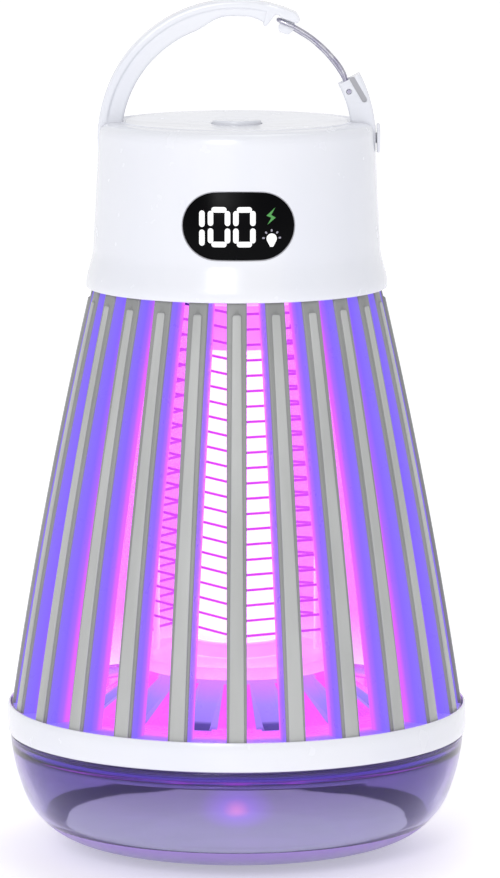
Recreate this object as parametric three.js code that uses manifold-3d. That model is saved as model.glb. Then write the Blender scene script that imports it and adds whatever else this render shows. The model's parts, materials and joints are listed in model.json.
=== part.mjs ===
// Rechargeable lantern-style insect zapper, as an assembly of separate solids.
// Units are millimetres, +Z is up, and the display faces -Y.
// The origin is the centre of the disc on which the catch tray stands.
// All shapes are three.js geometries; manifold-3d joins and cuts them.

import * as THREE from 'three';
import { mergeVertices } from 'three/addons/utils/BufferGeometryUtils.js';
import Module from 'manifold-3d';

const wasm = await Module();
wasm.setup();

// ---------------------------------------------------------------- driving dimensions

const GAP = 0.3;                  // between pieces that rest on each other
const CUT = 60;                   // reach of a cutting tool past the part
const ROUND = 48;                 // segments of a large round piece
const SMALL_ROUND = 24;           // segments of a small round piece

const RING_R = 55.3;              // base ring, the widest piece
const RING_LOW = 28.4;
const RING_HIGH = 35.4;
const RING_BORE_R = 52.2;
const RING_SHELF_Z = 33.0;
const RING_LIP_R = 54.5;          // inside of the thin lip round the slat feet

const CAGE_TOP_Z = 135.4;         // where the slats go into the head
const CAGE_TOP_R = 34.9;          // outside of the ribs there
const CAGE_FOOT_R = 54.2;         // outside of the ribs at the base ring
const CAGE_BULGE = 2.1;           // offset of the curve's control point from the chord
const CAGE_FLOOR_LOW = 33.3;
const CAGE_FLOOR_HIGH = 34.8;
const CAGE_FLOOR_BORE_R = 44.5;
const SLATS = 24;
const SLAT_THICK = 4.7;
const SLAT_DEPTH = 7.2;
const RIB_RISE = 0.45;            // how far a rib stands out of its slat
const RIB_TOP_WIDTH = 1.9;
const RIB_FOOT_WIDTH = 3.5;

const HEAD_LOW = 135.6;
const HEAD_RIM_Z = 175.3;         // crease round the dished top
const HEAD_RIM_R = 27.5;
const HEAD_DISH_Z = 174.4;        // middle of the dished top
const HEAD_BARREL_LOW = [34.25, 144.0];
const HEAD_BARREL_HIGH = [32.9, 170.0];
const HEAD_CAVITY_R = 31.0;
const HEAD_CAVITY_TOP = 164.4;
const BUTTON_WELL_R = 17.0;
const BUTTON_WELL_TOP = 172.0;

const CHASSIS_LOW = 138.8;
const CHASSIS_HIGH = 141.0;
const CHASSIS_R = 32.3;
const BOSS_CIRCLE_R = 28.6;
const BOSS_R = 2.8;
const BOSS_START = 52.5;          // the four bosses stand between slats
const BOSS_PILOT_R = 1.3;
const SCREW_CLEAR_R = 1.6;
const LEAD_HOLE_R = 1.5;

const DISPLAY_WIDTH = 25.9;
const DISPLAY_HEIGHT = 15.6;
const DISPLAY_Z = 153.4;
const DISPLAY_X = 0.4;

const PORT_Z = 159.0;             // charging port at the back of the head
const PORT_WIDTH = 11.0;
const PORT_HEIGHT = 5.2;

const BUTTON_R = 5.8;
const BUTTON_TOP = 175.5;
const BUTTON_PLAY = 0.35;

const PIVOT_Z = 171.0;            // axis on which the handle folds, along X
const BAIL_R = 33.0;              // outside of the handle, concentric with the pivot
const BAIL_INNER_R = 27.3;
const BAIL_SADDLE_R = 29.1;       // the thin stretch at the top, where it hangs
const BAIL_HALF_DEPTH = 3.5;
const BAIL_FOLD = 60;             // degrees that it folds to the back
const BAIL_CLEARANCE = 0.4;
const CHANNEL_R = 31.2;           // shallow channel on the front and back of the arm
const CHANNEL_DEPTH = 0.5;
const CHANNEL_FROM = 77;
const CHANNEL_TO = 172;
const BAIL_CLEAR_SPHERE = 26.8;   // the folding handle stays outside this radius

const WIRE_R = 0.5;               // spring wire of the gate
const GATE_PIVOT = [26.6, 11.25]; // x, and height above the handle's pivot
const GATE_TIP = [10.0, 28.0];
const GATE_HALF_SPREAD = 1.7;
const PIN_R = 1.25;
const PIN_INNER_END = 21.2;
const PIN_CAP_R = { left: 2.4, right: 3.5 };

const POST_DIAGONAL = 19.3;       // post axes from the lamp axis
const POST_R = 0.8;
const GRID_WIRE_R = 0.32;
const GRID_CORNER = 21.3;         // wire axis from the lamp axis at a corner
const GRID_PITCH = 7.33;          // each of the two wires, per turn
const GRID_LOW = 51.0;
const GRID_HIGH = 133.2;
const GRID_PLATE_LOW = 134.0;
const GRID_PLATE_HIGH = 135.6;
const CORNER_TURN = 0.03;         // radians between a corner and each end of its chamfer

const COLLAR_R = 24.0;
const COLLAR_LOW = 44.4;
const COLLAR_HIGH = 47.3;

const LAMP_R = 10.0;
const LAMP_WALL = 1.2;
const LAMP_LOW = 49.3;
const LAMP_HIGH = 123.6;

const FLOOR_TOP = 34.6;           // funnel floor between the slat ring and the cone
const FLOOR_LOW = 31.9;
const FLANGE_R = 48.0;
const CONE_TOP_R = 23.0;
const CONE_TOP_Z = 44.1;
const CONE_FOOT_R = 35.5;
const CHUTES = 12;
const CHUTE_WIDTH = 5.6;
const HOLE_INNER_R = 29.0;
const HOLE_OUTER_R = 36.2;
const FLOOR_SCREWS = 3;
const FLOOR_SCREW_START = 97.5;
const FLOOR_SCREW_CIRCLE_R = 46.2;
const FLOOR_SCREW_CLEAR_R = 1.3;
const FLOOR_SCREW_PILOT_R = 0.9;

const TRAY_TOP = 28.1;
const NECK_INNER_R = 49.0;
const NECK_OUTER_R = 50.6;
const NECK_TOP = 32.8;
const THREAD_LEAD = 8.0;          // right-handed, two starts
const THREAD_THICK = 1.0;
const THREAD_FLANK = 0.3;
const THREAD_PLAY = 0.35;
const RING_THREAD_Z = 29.4;       // where each ridge starts on the ring
const TRAY_THREAD_Z = 30.4;       // and on the tray, which starts 45 degrees earlier

// ---------------------------------------------------------------- small helpers

function toSolid(geometry) {
  const bare = geometry.clone();
  bare.deleteAttribute('normal');
  bare.deleteAttribute('uv');
  const merged = mergeVertices(bare, 1e-4);
  const index = merged.index.array;
  const corners = [];
  for (let i = 0; i < index.length; i += 3) {
    const [a, b, c] = [index[i], index[i + 1], index[i + 2]];
    if (a !== b && b !== c && c !== a) corners.push(a, b, c);
  }
  return new wasm.Manifold(new wasm.Mesh({
    numProp: 3,
    vertProperties: new Float32Array(merged.attributes.position.array),
    triVerts: new Uint32Array(corners),
  }));
}

function toGeometry(solid) {
  const mesh = solid.getMesh();
  const geometry = new THREE.BufferGeometry();
  geometry.setAttribute('position', new THREE.BufferAttribute(new Float32Array(mesh.vertProperties), 3));
  geometry.setIndex(new THREE.BufferAttribute(new Uint32Array(mesh.triVerts), 1));
  geometry.computeVertexNormals();
  return geometry;
}

function join(...geometries) {
  return toGeometry(geometries.map(toSolid).reduce((whole, next) => whole.add(next)));
}

function cut(body, ...tools) {
  return toGeometry(tools.map(toSolid).reduce((left, tool) => left.subtract(tool), toSolid(body)));
}

function common(one, other) {
  return toGeometry(toSolid(one).intersect(toSolid(other)));
}

// A solid of revolution about Z, from [radius, z] points in order, closed on itself or on the axis.
function lathe(points, segments = ROUND) {
  const onAxis = points[0][0] === 0 && points[points.length - 1][0] === 0;
  const outline = onAxis ? points : [...points, points[0]];
  const profile = outline.map(([r, z]) => new THREE.Vector2(r, z));
  if (THREE.ShapeUtils.area(profile) < 0) profile.reverse();
  return new THREE.LatheGeometry(profile, segments).rotateX(Math.PI / 2);
}

function cylinder(radius, low, high, segments = SMALL_ROUND) {
  return new THREE.CylinderGeometry(radius, radius, high - low, segments)
    .rotateX(Math.PI / 2)
    .translate(0, 0, (low + high) / 2);
}

function box(x, y, z) {
  return new THREE.BoxGeometry(x[1] - x[0], y[1] - y[0], z[1] - z[0])
    .translate((x[0] + x[1]) / 2, (y[0] + y[1]) / 2, (z[0] + z[1]) / 2);
}

function polygon(points) {
  return new THREE.Shape(points.map(([a, b]) => new THREE.Vector2(a, b)));
}

// A shape drawn in the X-Z plane, filled from y = near to y = far.
function prismAlongY(shape, near, far, curveSegments = 8) {
  const basis = new THREE.Matrix4().makeBasis(
    new THREE.Vector3(1, 0, 0), new THREE.Vector3(0, 0, 1), new THREE.Vector3(0, -1, 0));
  return new THREE.ExtrudeGeometry(shape, { depth: far - near, bevelEnabled: false, curveSegments })
    .applyMatrix4(basis)
    .translate(0, far, 0);
}

// A shape drawn in the Y-Z plane, filled from x = near to x = far.
function prismAlongX(shape, near, far, curveSegments = 8) {
  const basis = new THREE.Matrix4().makeBasis(
    new THREE.Vector3(0, 1, 0), new THREE.Vector3(0, 0, 1), new THREE.Vector3(1, 0, 0));
  return new THREE.ExtrudeGeometry(shape, { depth: far - near, bevelEnabled: false, curveSegments })
    .applyMatrix4(basis)
    .translate(near, 0, 0);
}

function circleShape(radius, sides) {
  const points = [];
  for (let i = 0; i < sides; i += 1) {
    const angle = (i / sides) * 2 * Math.PI;
    points.push([radius * Math.cos(angle), radius * Math.sin(angle)]);
  }
  return polygon(points);
}

function tube(path, radius, sides, steps) {
  return new THREE.ExtrudeGeometry(circleShape(radius, sides), { extrudePath: path, steps });
}

// A pill outline, centred on the origin, with its long side along the first axis.
function pillShape(width, height) {
  const straight = (width - height) / 2;
  const shape = new THREE.Shape();
  shape.absarc(straight, 0, height / 2, -Math.PI / 2, Math.PI / 2);
  shape.absarc(-straight, 0, height / 2, Math.PI / 2, 3 * Math.PI / 2);
  return shape;
}

function radians(degrees) {
  return degrees * Math.PI / 180;
}

function copiesAround(geometry, count, startDegrees = 0) {
  return Array.from({ length: count }, (_, i) =>
    geometry.clone().rotateZ(radians(startDegrees + (i * 360) / count)));
}

function finish(color, roughness, metalness = 0, extra = {}) {
  return new THREE.MeshStandardMaterial({ color, roughness, metalness, ...extra });
}

function piece(name, geometry, material, place = {}) {
  const mesh = new THREE.Mesh(geometry, material);
  mesh.name = name;
  mesh.position.set(...(place.position ?? [0, 0, 0]));
  mesh.rotation.set(...(place.rotation ?? [0, 0, 0]));
  return mesh;
}

// ---------------------------------------------------------------- materials

const FINISH = {
  whitePlastic: () => finish('#f4f4f8', 0.25),
  greyPlastic: () => finish('#b9bab8', 0.5),
  blackPlastic: () => finish('#101014', 0.4),
  trayPlastic: () => finish('#8f7fd8', 0.1, 0, { transparent: true, opacity: 0.4 }),
  floorPlastic: () => finish('#e37af0', 0.45),
  lens: () => finish('#050507', 0.08),
  lampGlass: () => finish('#f7e6ff', 0.3, 0, { emissive: '#c060ff' }),
  circuitBoard: () => finish('#1d5a37', 0.6),
  batteryWrap: () => finish('#2c4a9c', 0.45),
  silicone: () => finish('#d9d6ea', 0.7),
  steel: () => finish('#b4b6ba', 0.3, 1),
  ceramic: () => finish('#2a2a2d', 0.7),
};

// ---------------------------------------------------------------- head

function headRadius(z) {
  const [lowR, lowZ] = HEAD_BARREL_LOW;
  const [highR, highZ] = HEAD_BARREL_HIGH;
  return lowR + (highR - lowR) * (z - lowZ) / (highZ - lowZ);
}

// Room for the handle's legs between upright and folded, outside the clearance sphere.
function handlePocket() {
  const clear = BAIL_HALF_DEPTH + BAIL_CLEARANCE;
  const fold = radians(BAIL_FOLD);
  const reach = 24;
  const [sine, cosine] = [Math.sin(fold), Math.cos(fold)];
  const shape = new THREE.Shape();
  shape.moveTo(-clear, reach / 2);
  shape.lineTo(-clear, 0);
  shape.absarc(0, 0, clear, Math.PI, 2 * Math.PI - fold);
  shape.lineTo(clear * cosine + reach * sine, reach * cosine - clear * sine);
  shape.lineTo(reach, reach / 2);
  const wedge = prismAlongX(shape, -CUT, CUT).translate(0, 0, PIVOT_Z);
  const sphere = new THREE.SphereGeometry(BAIL_CLEAR_SPHERE, 32, 16).translate(0, 0, PIVOT_Z);
  return cut(wedge, sphere);
}

function headShell() {
  const [barrelLowR, barrelLowZ] = HEAD_BARREL_LOW;
  const [barrelHighR, barrelHighZ] = HEAD_BARREL_HIGH;
  const outside = [
    [34.95, HEAD_LOW], [35.95, HEAD_LOW + 0.6], [35.5, 139.4], [34.8, 141.8],
    [barrelLowR, barrelLowZ], [barrelHighR, barrelHighZ],
    [32.75, 172.4], [32.1, 173.9], [30.9, 174.8], [HEAD_RIM_R + 0.3, 175.0],
    [HEAD_RIM_R, HEAD_RIM_Z], [18, 174.7], [0, HEAD_DISH_Z],
  ];
  const inside = [
    [0, BUTTON_WELL_TOP], [BUTTON_WELL_R, BUTTON_WELL_TOP], [BUTTON_WELL_R, HEAD_CAVITY_TOP],
    [HEAD_CAVITY_R, HEAD_CAVITY_TOP], [HEAD_CAVITY_R, CHASSIS_HIGH + GAP],
    [CHASSIS_R + GAP, CHASSIS_HIGH + GAP], [CHASSIS_R + GAP, CHASSIS_LOW - GAP], [34.95, 138.4],
  ];
  const shell = lathe([...inside, ...outside]);
  const bossDepth = [CHASSIS_HIGH + GAP, HEAD_CAVITY_TOP + 1];
  const boss = cylinder(BOSS_R, ...bossDepth, 16).translate(BOSS_CIRCLE_R, 0, 0);
  const bossHole = cylinder(BOSS_PILOT_R, CHASSIS_HIGH - 1, CHASSIS_HIGH + 9, 12)
    .translate(BOSS_CIRCLE_R, 0, 0);
  const window = prismAlongY(pillShape(DISPLAY_WIDTH + 2 * GAP, DISPLAY_HEIGHT + 2 * GAP), -CUT, -20, 10)
    .translate(DISPLAY_X, 0, DISPLAY_Z);
  const port = prismAlongY(pillShape(PORT_WIDTH, PORT_HEIGHT), 20, CUT, 6).translate(0, 0, PORT_Z);
  const pinHole = cylinder(1.6, -40, 40, 16).rotateY(Math.PI / 2).translate(0, 0, PIVOT_Z);
  const pinCore = cylinder(2.4, -20.6, 20.6, 16).rotateY(Math.PI / 2).translate(0, 0, PIVOT_Z);
  const blindPinHole = cut(pinHole, pinCore);
  const buttonHole = cylinder(BUTTON_R + BUTTON_PLAY, HEAD_CAVITY_TOP - 2, HEAD_RIM_Z + 10, 32);
  return cut(
    join(shell, ...copiesAround(boss, 4, BOSS_START)),
    ...copiesAround(bossHole, 4, BOSS_START), window, port, blindPinHole, buttonHole, handlePocket());
}

function headChassis() {
  const plate = lathe([
    [0, CHASSIS_LOW - 2.9], [15, CHASSIS_LOW - 2.9], [15, CHASSIS_LOW], [CHASSIS_R, CHASSIS_LOW],
    [CHASSIS_R, CHASSIS_HIGH], [0, CHASSIS_HIGH],
  ]);
  const screwHole = cylinder(SCREW_CLEAR_R, 120, 150, 12).translate(BOSS_CIRCLE_R, 0, 0);
  const leadHole = cylinder(LEAD_HOLE_R, 120, 150, 12).translate(11, 0, 0);
  return cut(plate, ...copiesAround(screwHole, 4, BOSS_START), ...copiesAround(leadHole, 2, 90));
}

function powerButton() {
  const flangeLow = 170.4;
  const flangeHigh = 171.6;
  const stemLow = 167.8;
  return lathe([
    [0, stemLow], [2.4, stemLow], [2.4, flangeLow], [7.6, flangeLow], [7.6, flangeHigh],
    [BUTTON_R, flangeHigh], [BUTTON_R, BUTTON_TOP - 0.5], [BUTTON_R - 0.5, BUTTON_TOP], [0, BUTTON_TOP],
  ], 32);
}

function tactSwitch() {
  const body = box([-3, 3], [-3, 3], [162.9, 166.4]);
  return cut(body, cylinder(1.9, 164.2, 170, 16));
}

function switchPlunger() {
  return cylinder(1.6, 165.6, 167.5, 16);
}

function displayLens() {
  const low = DISPLAY_Z - DISPLAY_HEIGHT;
  const high = DISPLAY_Z + DISPLAY_HEIGHT;
  const skin = lathe([
    [headRadius(low) - 1.7, low], [headRadius(low) - 0.1, low],
    [headRadius(high) - 0.1, high], [headRadius(high) - 1.7, high],
  ], 144);
  const pill = prismAlongY(pillShape(DISPLAY_WIDTH, DISPLAY_HEIGHT), -CUT, -20, 14)
    .translate(DISPLAY_X, 0, DISPLAY_Z);
  return common(skin, pill);
}

function displayModule() {
  const body = box([-11.5, 11.5], [-28.3, -26.0], [146.6, 160.4]);
  const connector = box([-5, 5], [-26.2, -24.2], [156.4, 159.4]);
  return join(body, connector).translate(DISPLAY_X, 0, 0);
}

function controlBoard() {
  const low = 161.0;
  const high = 162.6;
  const disc = cylinder(24.5, low, high, 48);
  const frontFlat = box([-CUT, CUT], [-CUT, -22], [low - 1, high + 1]);
  const chip = box([-6, 1], [7, 14], [low - 1.2, low + 0.2]);
  const coil = box([8, 13], [-16, -11], [low - 2.6, low + 0.2]);
  return join(cut(disc, frontFlat), chip, coil);
}

function transformer() {
  const core = box([5, 19], [-6, 6], [150.4, 160.7]);
  const waist = box([4, 7], [-3.6, 3.6], [152.4, 158.7]);
  const winding = cylinder(4.6, 152.2, 158.9, 20).translate(5, 0, 0);
  return join(core, waist, winding);
}

function capacitor() {
  return lathe([[0, -6], [3.6, -6], [4, -5.6], [4, 5.6], [3.6, 6], [0, 6]], 20);
}

function batteryPack() {
  const outline = pillShape(28, 8);
  const cell = prismAlongX(outline, -24, 24, 6).translate(0, 0, 145.8);
  const board = box([14, 23.6], [-3, 3], [149.2, 150.2]);
  return join(cell, board);
}

function usbSocket() {
  const low = PORT_Z - 1.6;
  const high = PORT_Z + 1.6;
  const outer = prismAlongY(pillShape(9.0, high - low), 23.6, 30.9, 6).translate(0, 0, PORT_Z);
  const mouth = prismAlongY(pillShape(8.3, 2.5), 25.0, 40, 6).translate(0, 0, PORT_Z);
  const tongue = box([-3.3, 3.3], [24.5, 30.0], [PORT_Z - 0.35, PORT_Z + 0.35]);
  return join(cut(outer, mouth), tongue);
}

// A self-tapping screw standing on its head, which is at z = 0, with its point up.
function screw(headR, headHeight, shankR, length) {
  const body = lathe([
    [0, 0], [headR * 0.8, 0], [headR, headHeight * 0.4], [headR, headHeight],
    [shankR, headHeight], [shankR, length - 1], [0, length],
  ], 10);
  const slot = box([-headR * 0.6, headR * 0.6], [-0.25, 0.25], [-1, headHeight * 0.55]);
  const crossSlot = slot.clone().rotateZ(Math.PI / 2);
  return cut(body, slot, crossSlot);
}

// ---------------------------------------------------------------- handle

function onCircle(radius, degrees) {
  return [radius * Math.cos(radians(degrees)), radius * Math.sin(radians(degrees))];
}

function bailOutline() {
  const noseEnd = 62.5;
  const notchLeft = 75;
  const shape = new THREE.Shape();
  shape.moveTo(-BAIL_INNER_R, 0);
  shape.lineTo(-BAIL_R, 0);
  shape.absarc(0, 0, BAIL_R, Math.PI, radians(noseEnd + 2), true);
  shape.lineTo(...onCircle(32.0, noseEnd - 0.5));
  shape.lineTo(...onCircle(30.9, noseEnd - 0.3));
  shape.lineTo(10.6, 28.65);
  shape.lineTo(9.98, 29.4);
  shape.lineTo(9.1, 29.5);
  shape.lineTo(...onCircle(27.7, notchLeft));
  shape.quadraticCurveTo(4.2, BAIL_SADDLE_R, 1.4, BAIL_SADDLE_R);
  shape.lineTo(-1.4, BAIL_SADDLE_R);
  shape.quadraticCurveTo(-4.2, BAIL_SADDLE_R - 0.1, ...onCircle(BAIL_INNER_R, 107));
  shape.absarc(0, 0, BAIL_INNER_R, radians(107), Math.PI);
  return shape;
}

function stubOutline() {
  const end = 28;
  const shape = new THREE.Shape();
  shape.moveTo(BAIL_INNER_R, 0);
  shape.absarc(0, 0, BAIL_INNER_R, 0, radians(end));
  shape.lineTo(...onCircle(BAIL_R - 0.6, end + 1));
  shape.lineTo(...onCircle(BAIL_R, end));
  shape.absarc(0, 0, BAIL_R, radians(end), 0, true);
  return shape;
}

function bandOutline(innerR, outerR, from, to) {
  const shape = new THREE.Shape();
  shape.absarc(0, 0, outerR, radians(from), radians(to));
  shape.absarc(0, 0, innerR, radians(to), radians(from), true);
  return shape;
}

// The tooth between the two strands of the gate, on a stem under the nose.
function noseTooth() {
  const shape = polygon([
    [10.9, 29.4], [10.6, 28.2], [9.8, 26.2], [10.1, 25.2], [12.2, 24.5], [13.6, 25.7], [13.9, 29.0],
  ]);
  return prismAlongY(shape, -0.85, 0.85);
}

// Room in the stub for the two strands of the gate, open to the inside of the handle.
function gateSlot() {
  return prismAlongY(bandOutline(22, 30.6, 20.2, 34), -2.4, 2.4);
}

function stubGroove() {
  const length = 6.9;
  const groove = prismAlongY(pillShape(length, 1.3), -10, -BAIL_HALF_DEPTH + 0.6, 5);
  return groove.rotateY(radians(59.6)).translate(28.8, 0, 11.8);
}

function handleArm() {
  const channel = bandOutline(20, CHANNEL_R, CHANNEL_FROM, CHANNEL_TO);
  const frontChannel = prismAlongY(channel, -10, -BAIL_HALF_DEPTH + CHANNEL_DEPTH, 14);
  const backChannel = prismAlongY(channel, BAIL_HALF_DEPTH - CHANNEL_DEPTH, 10, 14);
  const arch = prismAlongY(bailOutline(), -BAIL_HALF_DEPTH, BAIL_HALF_DEPTH, 18);
  const capSeat = cylinder(PIN_CAP_R.left + GAP, -CUT, -BAIL_R + 1.2).rotateY(Math.PI / 2);
  return cut(
    join(cut(arch, frontChannel, backChannel), handleEar().rotateZ(Math.PI), noseTooth()),
    pinHole(), capSeat);
}

function handleStub() {
  const stub = prismAlongY(stubOutline(), -BAIL_HALF_DEPTH, BAIL_HALF_DEPTH, 6);
  const gateHole = cylinder(WIRE_R + GAP, -10, 10, 12)
    .rotateX(Math.PI / 2)
    .translate(GATE_PIVOT[0], 0, GATE_PIVOT[1]);
  return cut(join(stub, handleEar()), pinHole(), gateSlot(), stubGroove(), gateHole);
}

// The round end of each leg, about the pivot.
function handleEar() {
  return cylinder(BAIL_HALF_DEPTH, BAIL_INNER_R, BAIL_R).rotateY(Math.PI / 2);
}

function pinHole() {
  return cylinder(PIN_R + GAP, -CUT, CUT, 16).rotateY(Math.PI / 2);
}

// A pin along +X from the head's boss out through an ear, with a cap on its end.
function pivotPin(capR, capFrom, capTo) {
  return lathe([
    [0, PIN_INNER_END], [PIN_R, PIN_INNER_END], [PIN_R, capFrom], [capR, capFrom],
    [capR, capTo - 0.25], [capR - 0.6, capTo], [0, capTo],
  ], 16).rotateY(Math.PI / 2);
}

// One loop of spring wire: it starts in one cheek of the stub, runs to the nose and comes back.
function wireGate() {
  const strand = (side, radius) => [
    [29.1, 25.5, 1], [radius, 33, 1], [radius, 43, 1],
    [radius, 53, 1], [radius, 62, 1], [29.7, 67.5, 0.97],
  ].map(([r, degrees, spread]) => {
    const [x, height] = onCircle(r, degrees);
    return new THREE.Vector3(x, side * spread * GATE_HALF_SPREAD, height);
  });
  const crossing = (spread, [x, height]) => new THREE.Vector3(x, spread, height);
  const points = [
    crossing(-3.3, GATE_PIVOT), crossing(-2.6, GATE_PIVOT), crossing(-1.9, GATE_PIVOT),
    ...strand(-1, 29.85),
    crossing(-1.2, GATE_TIP), crossing(0, GATE_TIP), crossing(1.2, GATE_TIP),
    ...strand(1, 29.15).reverse(),
    crossing(1.9, GATE_PIVOT), crossing(2.6, GATE_PIVOT), crossing(3.3, GATE_PIVOT),
  ];
  return tube(new THREE.CatmullRomCurve3(points, false, 'centripetal'), WIRE_R, 6, 52);
}

// ---------------------------------------------------------------- lamp and killing grid

function lampTube() {
  return lathe([
    [LAMP_R - LAMP_WALL, LAMP_LOW], [LAMP_R, LAMP_LOW],
    [LAMP_R, LAMP_HIGH], [LAMP_R - LAMP_WALL, LAMP_HIGH],
  ], 32);
}

function ledBoard() {
  const board = box([-3.5, 3.5], [-0.8, 0.8], [50.2, 122.8]);
  const leds = [];
  for (let z = 56; z < 120; z += 9) {
    leds.push(box([-1.4, 1.4], [-1.6, 1.6], [z - 1.4, z + 1.4]));
  }
  return join(board, ...leds);
}

function lampTopCap() {
  return lathe([
    [0, 133.7], [0, LAMP_HIGH + GAP], [LAMP_R + GAP, LAMP_HIGH + GAP], [LAMP_R + GAP, 121.4],
    [LAMP_R + 1.6, 121.4], [12.6, 124.4], [12.6, 133.7],
  ], 32);
}

function lampBottomCap() {
  return lathe([
    [0, COLLAR_HIGH + GAP], [12.2, COLLAR_HIGH + GAP], [12.2, 50.4], [11.6, 51.0],
    [LAMP_R + GAP, 51.0], [LAMP_R + GAP, LAMP_LOW - GAP], [0, LAMP_LOW - GAP],
  ], 32);
}

// A coiled wire with square turns: a point for each end of every chamfered corner.
class SquareCoil extends THREE.Curve {
  constructor(startDegrees, low, high) {
    super();
    this.turns = (high - low) / GRID_PITCH;
    this.steps = Math.floor(this.turns * 8);
    this.start = radians(startDegrees);
    this.high = high;
  }

  corner(step) {
    const quarter = Math.floor(step / 2);
    const angle = (quarter + (step % 2 ? 1 : 0)) * Math.PI / 2;
    const side = step % 2 ? -1 : 1;
    return angle + side * CORNER_TURN;
  }

  getPoint(t) {
    const at = Math.min(t * this.steps, this.steps);
    const step = Math.min(Math.floor(at), this.steps - 1);
    const share = at - step;
    const from = this.corner(step);
    const to = this.corner(step + 1);
    const radius = GRID_CORNER * (1 - CORNER_TURN);
    const x = radius * (Math.cos(from) * (1 - share) + Math.cos(to) * share);
    const y = radius * (Math.sin(from) * (1 - share) + Math.sin(to) * share);
    const turned = (from * (1 - share) + to * share) / (2 * Math.PI);
    const place = new THREE.Vector3(x, y, this.high - GRID_PITCH * turned);
    return place.applyAxisAngle(new THREE.Vector3(0, 0, 1), this.start);
  }

  getPointAt(u) {
    return this.getPoint(u);
  }

  getTangentAt(u) {
    return this.getTangent(u);
  }
}

function gridWire(startDegrees, low, high) {
  const coil = new SquareCoil(startDegrees, low, high);
  return tube(coil, GRID_WIRE_R, 5, coil.steps);
}

function gridPost() {
  return lathe([
    [0, COLLAR_HIGH + GAP], [POST_R, COLLAR_HIGH + GAP], [POST_R, GRID_PLATE_LOW - GAP],
    [0, GRID_PLATE_LOW - GAP],
  ], 12);
}

function gridTopPlate() {
  return lathe([
    [0, GRID_PLATE_LOW], [COLLAR_R, GRID_PLATE_LOW], [COLLAR_R, GRID_PLATE_HIGH], [0, GRID_PLATE_HIGH],
  ]);
}

function gridCollar() {
  return lathe([
    [0, COLLAR_LOW], [COLLAR_R, COLLAR_LOW], [COLLAR_R, COLLAR_HIGH - 0.4],
    [COLLAR_R - 0.4, COLLAR_HIGH], [0, COLLAR_HIGH],
  ]);
}

// ---------------------------------------------------------------- cage, floor and ring

// The outer curve of the slats, in the plane of radius and height.
function slatCurve(inset, shape, upwards) {
  const foot = [CAGE_FOOT_R - inset, CAGE_FLOOR_HIGH - 0.6];
  const top = [CAGE_TOP_R - inset, CAGE_TOP_Z];
  const middle = [(foot[0] + top[0]) / 2 + CAGE_BULGE, (foot[1] + top[1]) / 2];
  shape.quadraticCurveTo(...middle, ...(upwards ? top : foot));
}

function slatSide(outerInset, innerInset) {
  const low = CAGE_FLOOR_HIGH - 0.6;
  const rootTop = CAGE_TOP_Z + 1.8;
  const shape = new THREE.Shape();
  shape.moveTo(CAGE_FOOT_R - innerInset, low);
  shape.lineTo(CAGE_FOOT_R - outerInset, low);
  slatCurve(outerInset, shape, true);
  shape.lineTo(CAGE_TOP_R - 1.2, rootTop);
  shape.lineTo(CAGE_TOP_R - innerInset, rootTop);
  shape.lineTo(CAGE_TOP_R - innerInset, CAGE_TOP_Z);
  slatCurve(innerInset, shape, false);
  return shape;
}

// The front outline of a rib: wider at the foot, round at the top.
function ribFront() {
  const top = CAGE_TOP_Z - 2.2;
  const halfTop = RIB_TOP_WIDTH / 2;
  const halfFoot = RIB_FOOT_WIDTH / 2;
  const shape = new THREE.Shape();
  shape.moveTo(-halfFoot, 0);
  shape.lineTo(halfFoot, 0);
  shape.lineTo(halfTop, top);
  shape.absarc(0, top, halfTop, 0, Math.PI);
  return shape;
}

// The slat whose middle lies on +Y; its side faces run straight in towards the lamp.
function slat() {
  const half = SLAT_THICK / 2;
  const body = prismAlongX(slatSide(RIB_RISE, SLAT_DEPTH), -half, half, 4);
  const ribBlank = prismAlongX(slatSide(0, RIB_RISE + 1), -half, half, 4);
  const rib = common(ribBlank, prismAlongY(ribFront(), 0, CUT, 3));
  return join(body, rib);
}

function cage() {
  const floorRing = lathe([
    [CAGE_FLOOR_BORE_R, CAGE_FLOOR_LOW], [CAGE_FOOT_R - 0.1, CAGE_FLOOR_LOW],
    [CAGE_FOOT_R - 0.1, CAGE_FLOOR_HIGH], [CAGE_FLOOR_BORE_R, CAGE_FLOOR_HIGH],
  ]);
  const topRing = lathe([
    [26.8, CAGE_TOP_Z + 0.8], [CAGE_TOP_R - 0.4, CAGE_TOP_Z + 0.8],
    [CAGE_TOP_R - 0.4, CHASSIS_LOW - 0.4], [26.8, CHASSIS_LOW - 0.4],
  ]);
  const topHole = cylinder(SCREW_CLEAR_R, 130, 145, 12).translate(BOSS_CIRCLE_R, 0, 0);
  const headRoom = cylinder(2.7, CAGE_TOP_Z - 1, CAGE_TOP_Z + 1.6, 16).translate(BOSS_CIRCLE_R, 0, 0);
  const floorHole = cylinder(FLOOR_SCREW_PILOT_R, 20, CAGE_FLOOR_HIGH + 1, 12)
    .translate(FLOOR_SCREW_CIRCLE_R, 0, 0);
  return cut(
    join(floorRing, topRing, ...copiesAround(slat(), SLATS)),
    ...copiesAround(topHole, 4, BOSS_START), ...copiesAround(headRoom, 4, BOSS_START),
    ...copiesAround(floorHole, FLOOR_SCREWS, FLOOR_SCREW_START));
}

// A ring-shaped solid whose outline changes as it goes round, from a function of the angle.
function spun(outlineAt) {
  const count = outlineAt(0).length;
  const positions = [];
  const faces = [];
  for (let turn = 0; turn < ROUND; turn += 1) {
    const degrees = turn * 360 / ROUND;
    outlineAt(degrees).forEach(([r, z]) => positions.push(...onCircle(r, degrees), z));
    for (let i = 0; i < count; i += 1) {
      const here = turn * count;
      const next = ((turn + 1) % ROUND) * count;
      const after = (i + 1) % count;
      faces.push(here + i, next + i, here + after, here + after, next + i, next + after);
    }
  }
  const geometry = new THREE.BufferGeometry();
  geometry.setAttribute('position', new THREE.Float32BufferAttribute(positions, 3));
  geometry.setIndex(faces);
  return geometry;
}

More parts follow.
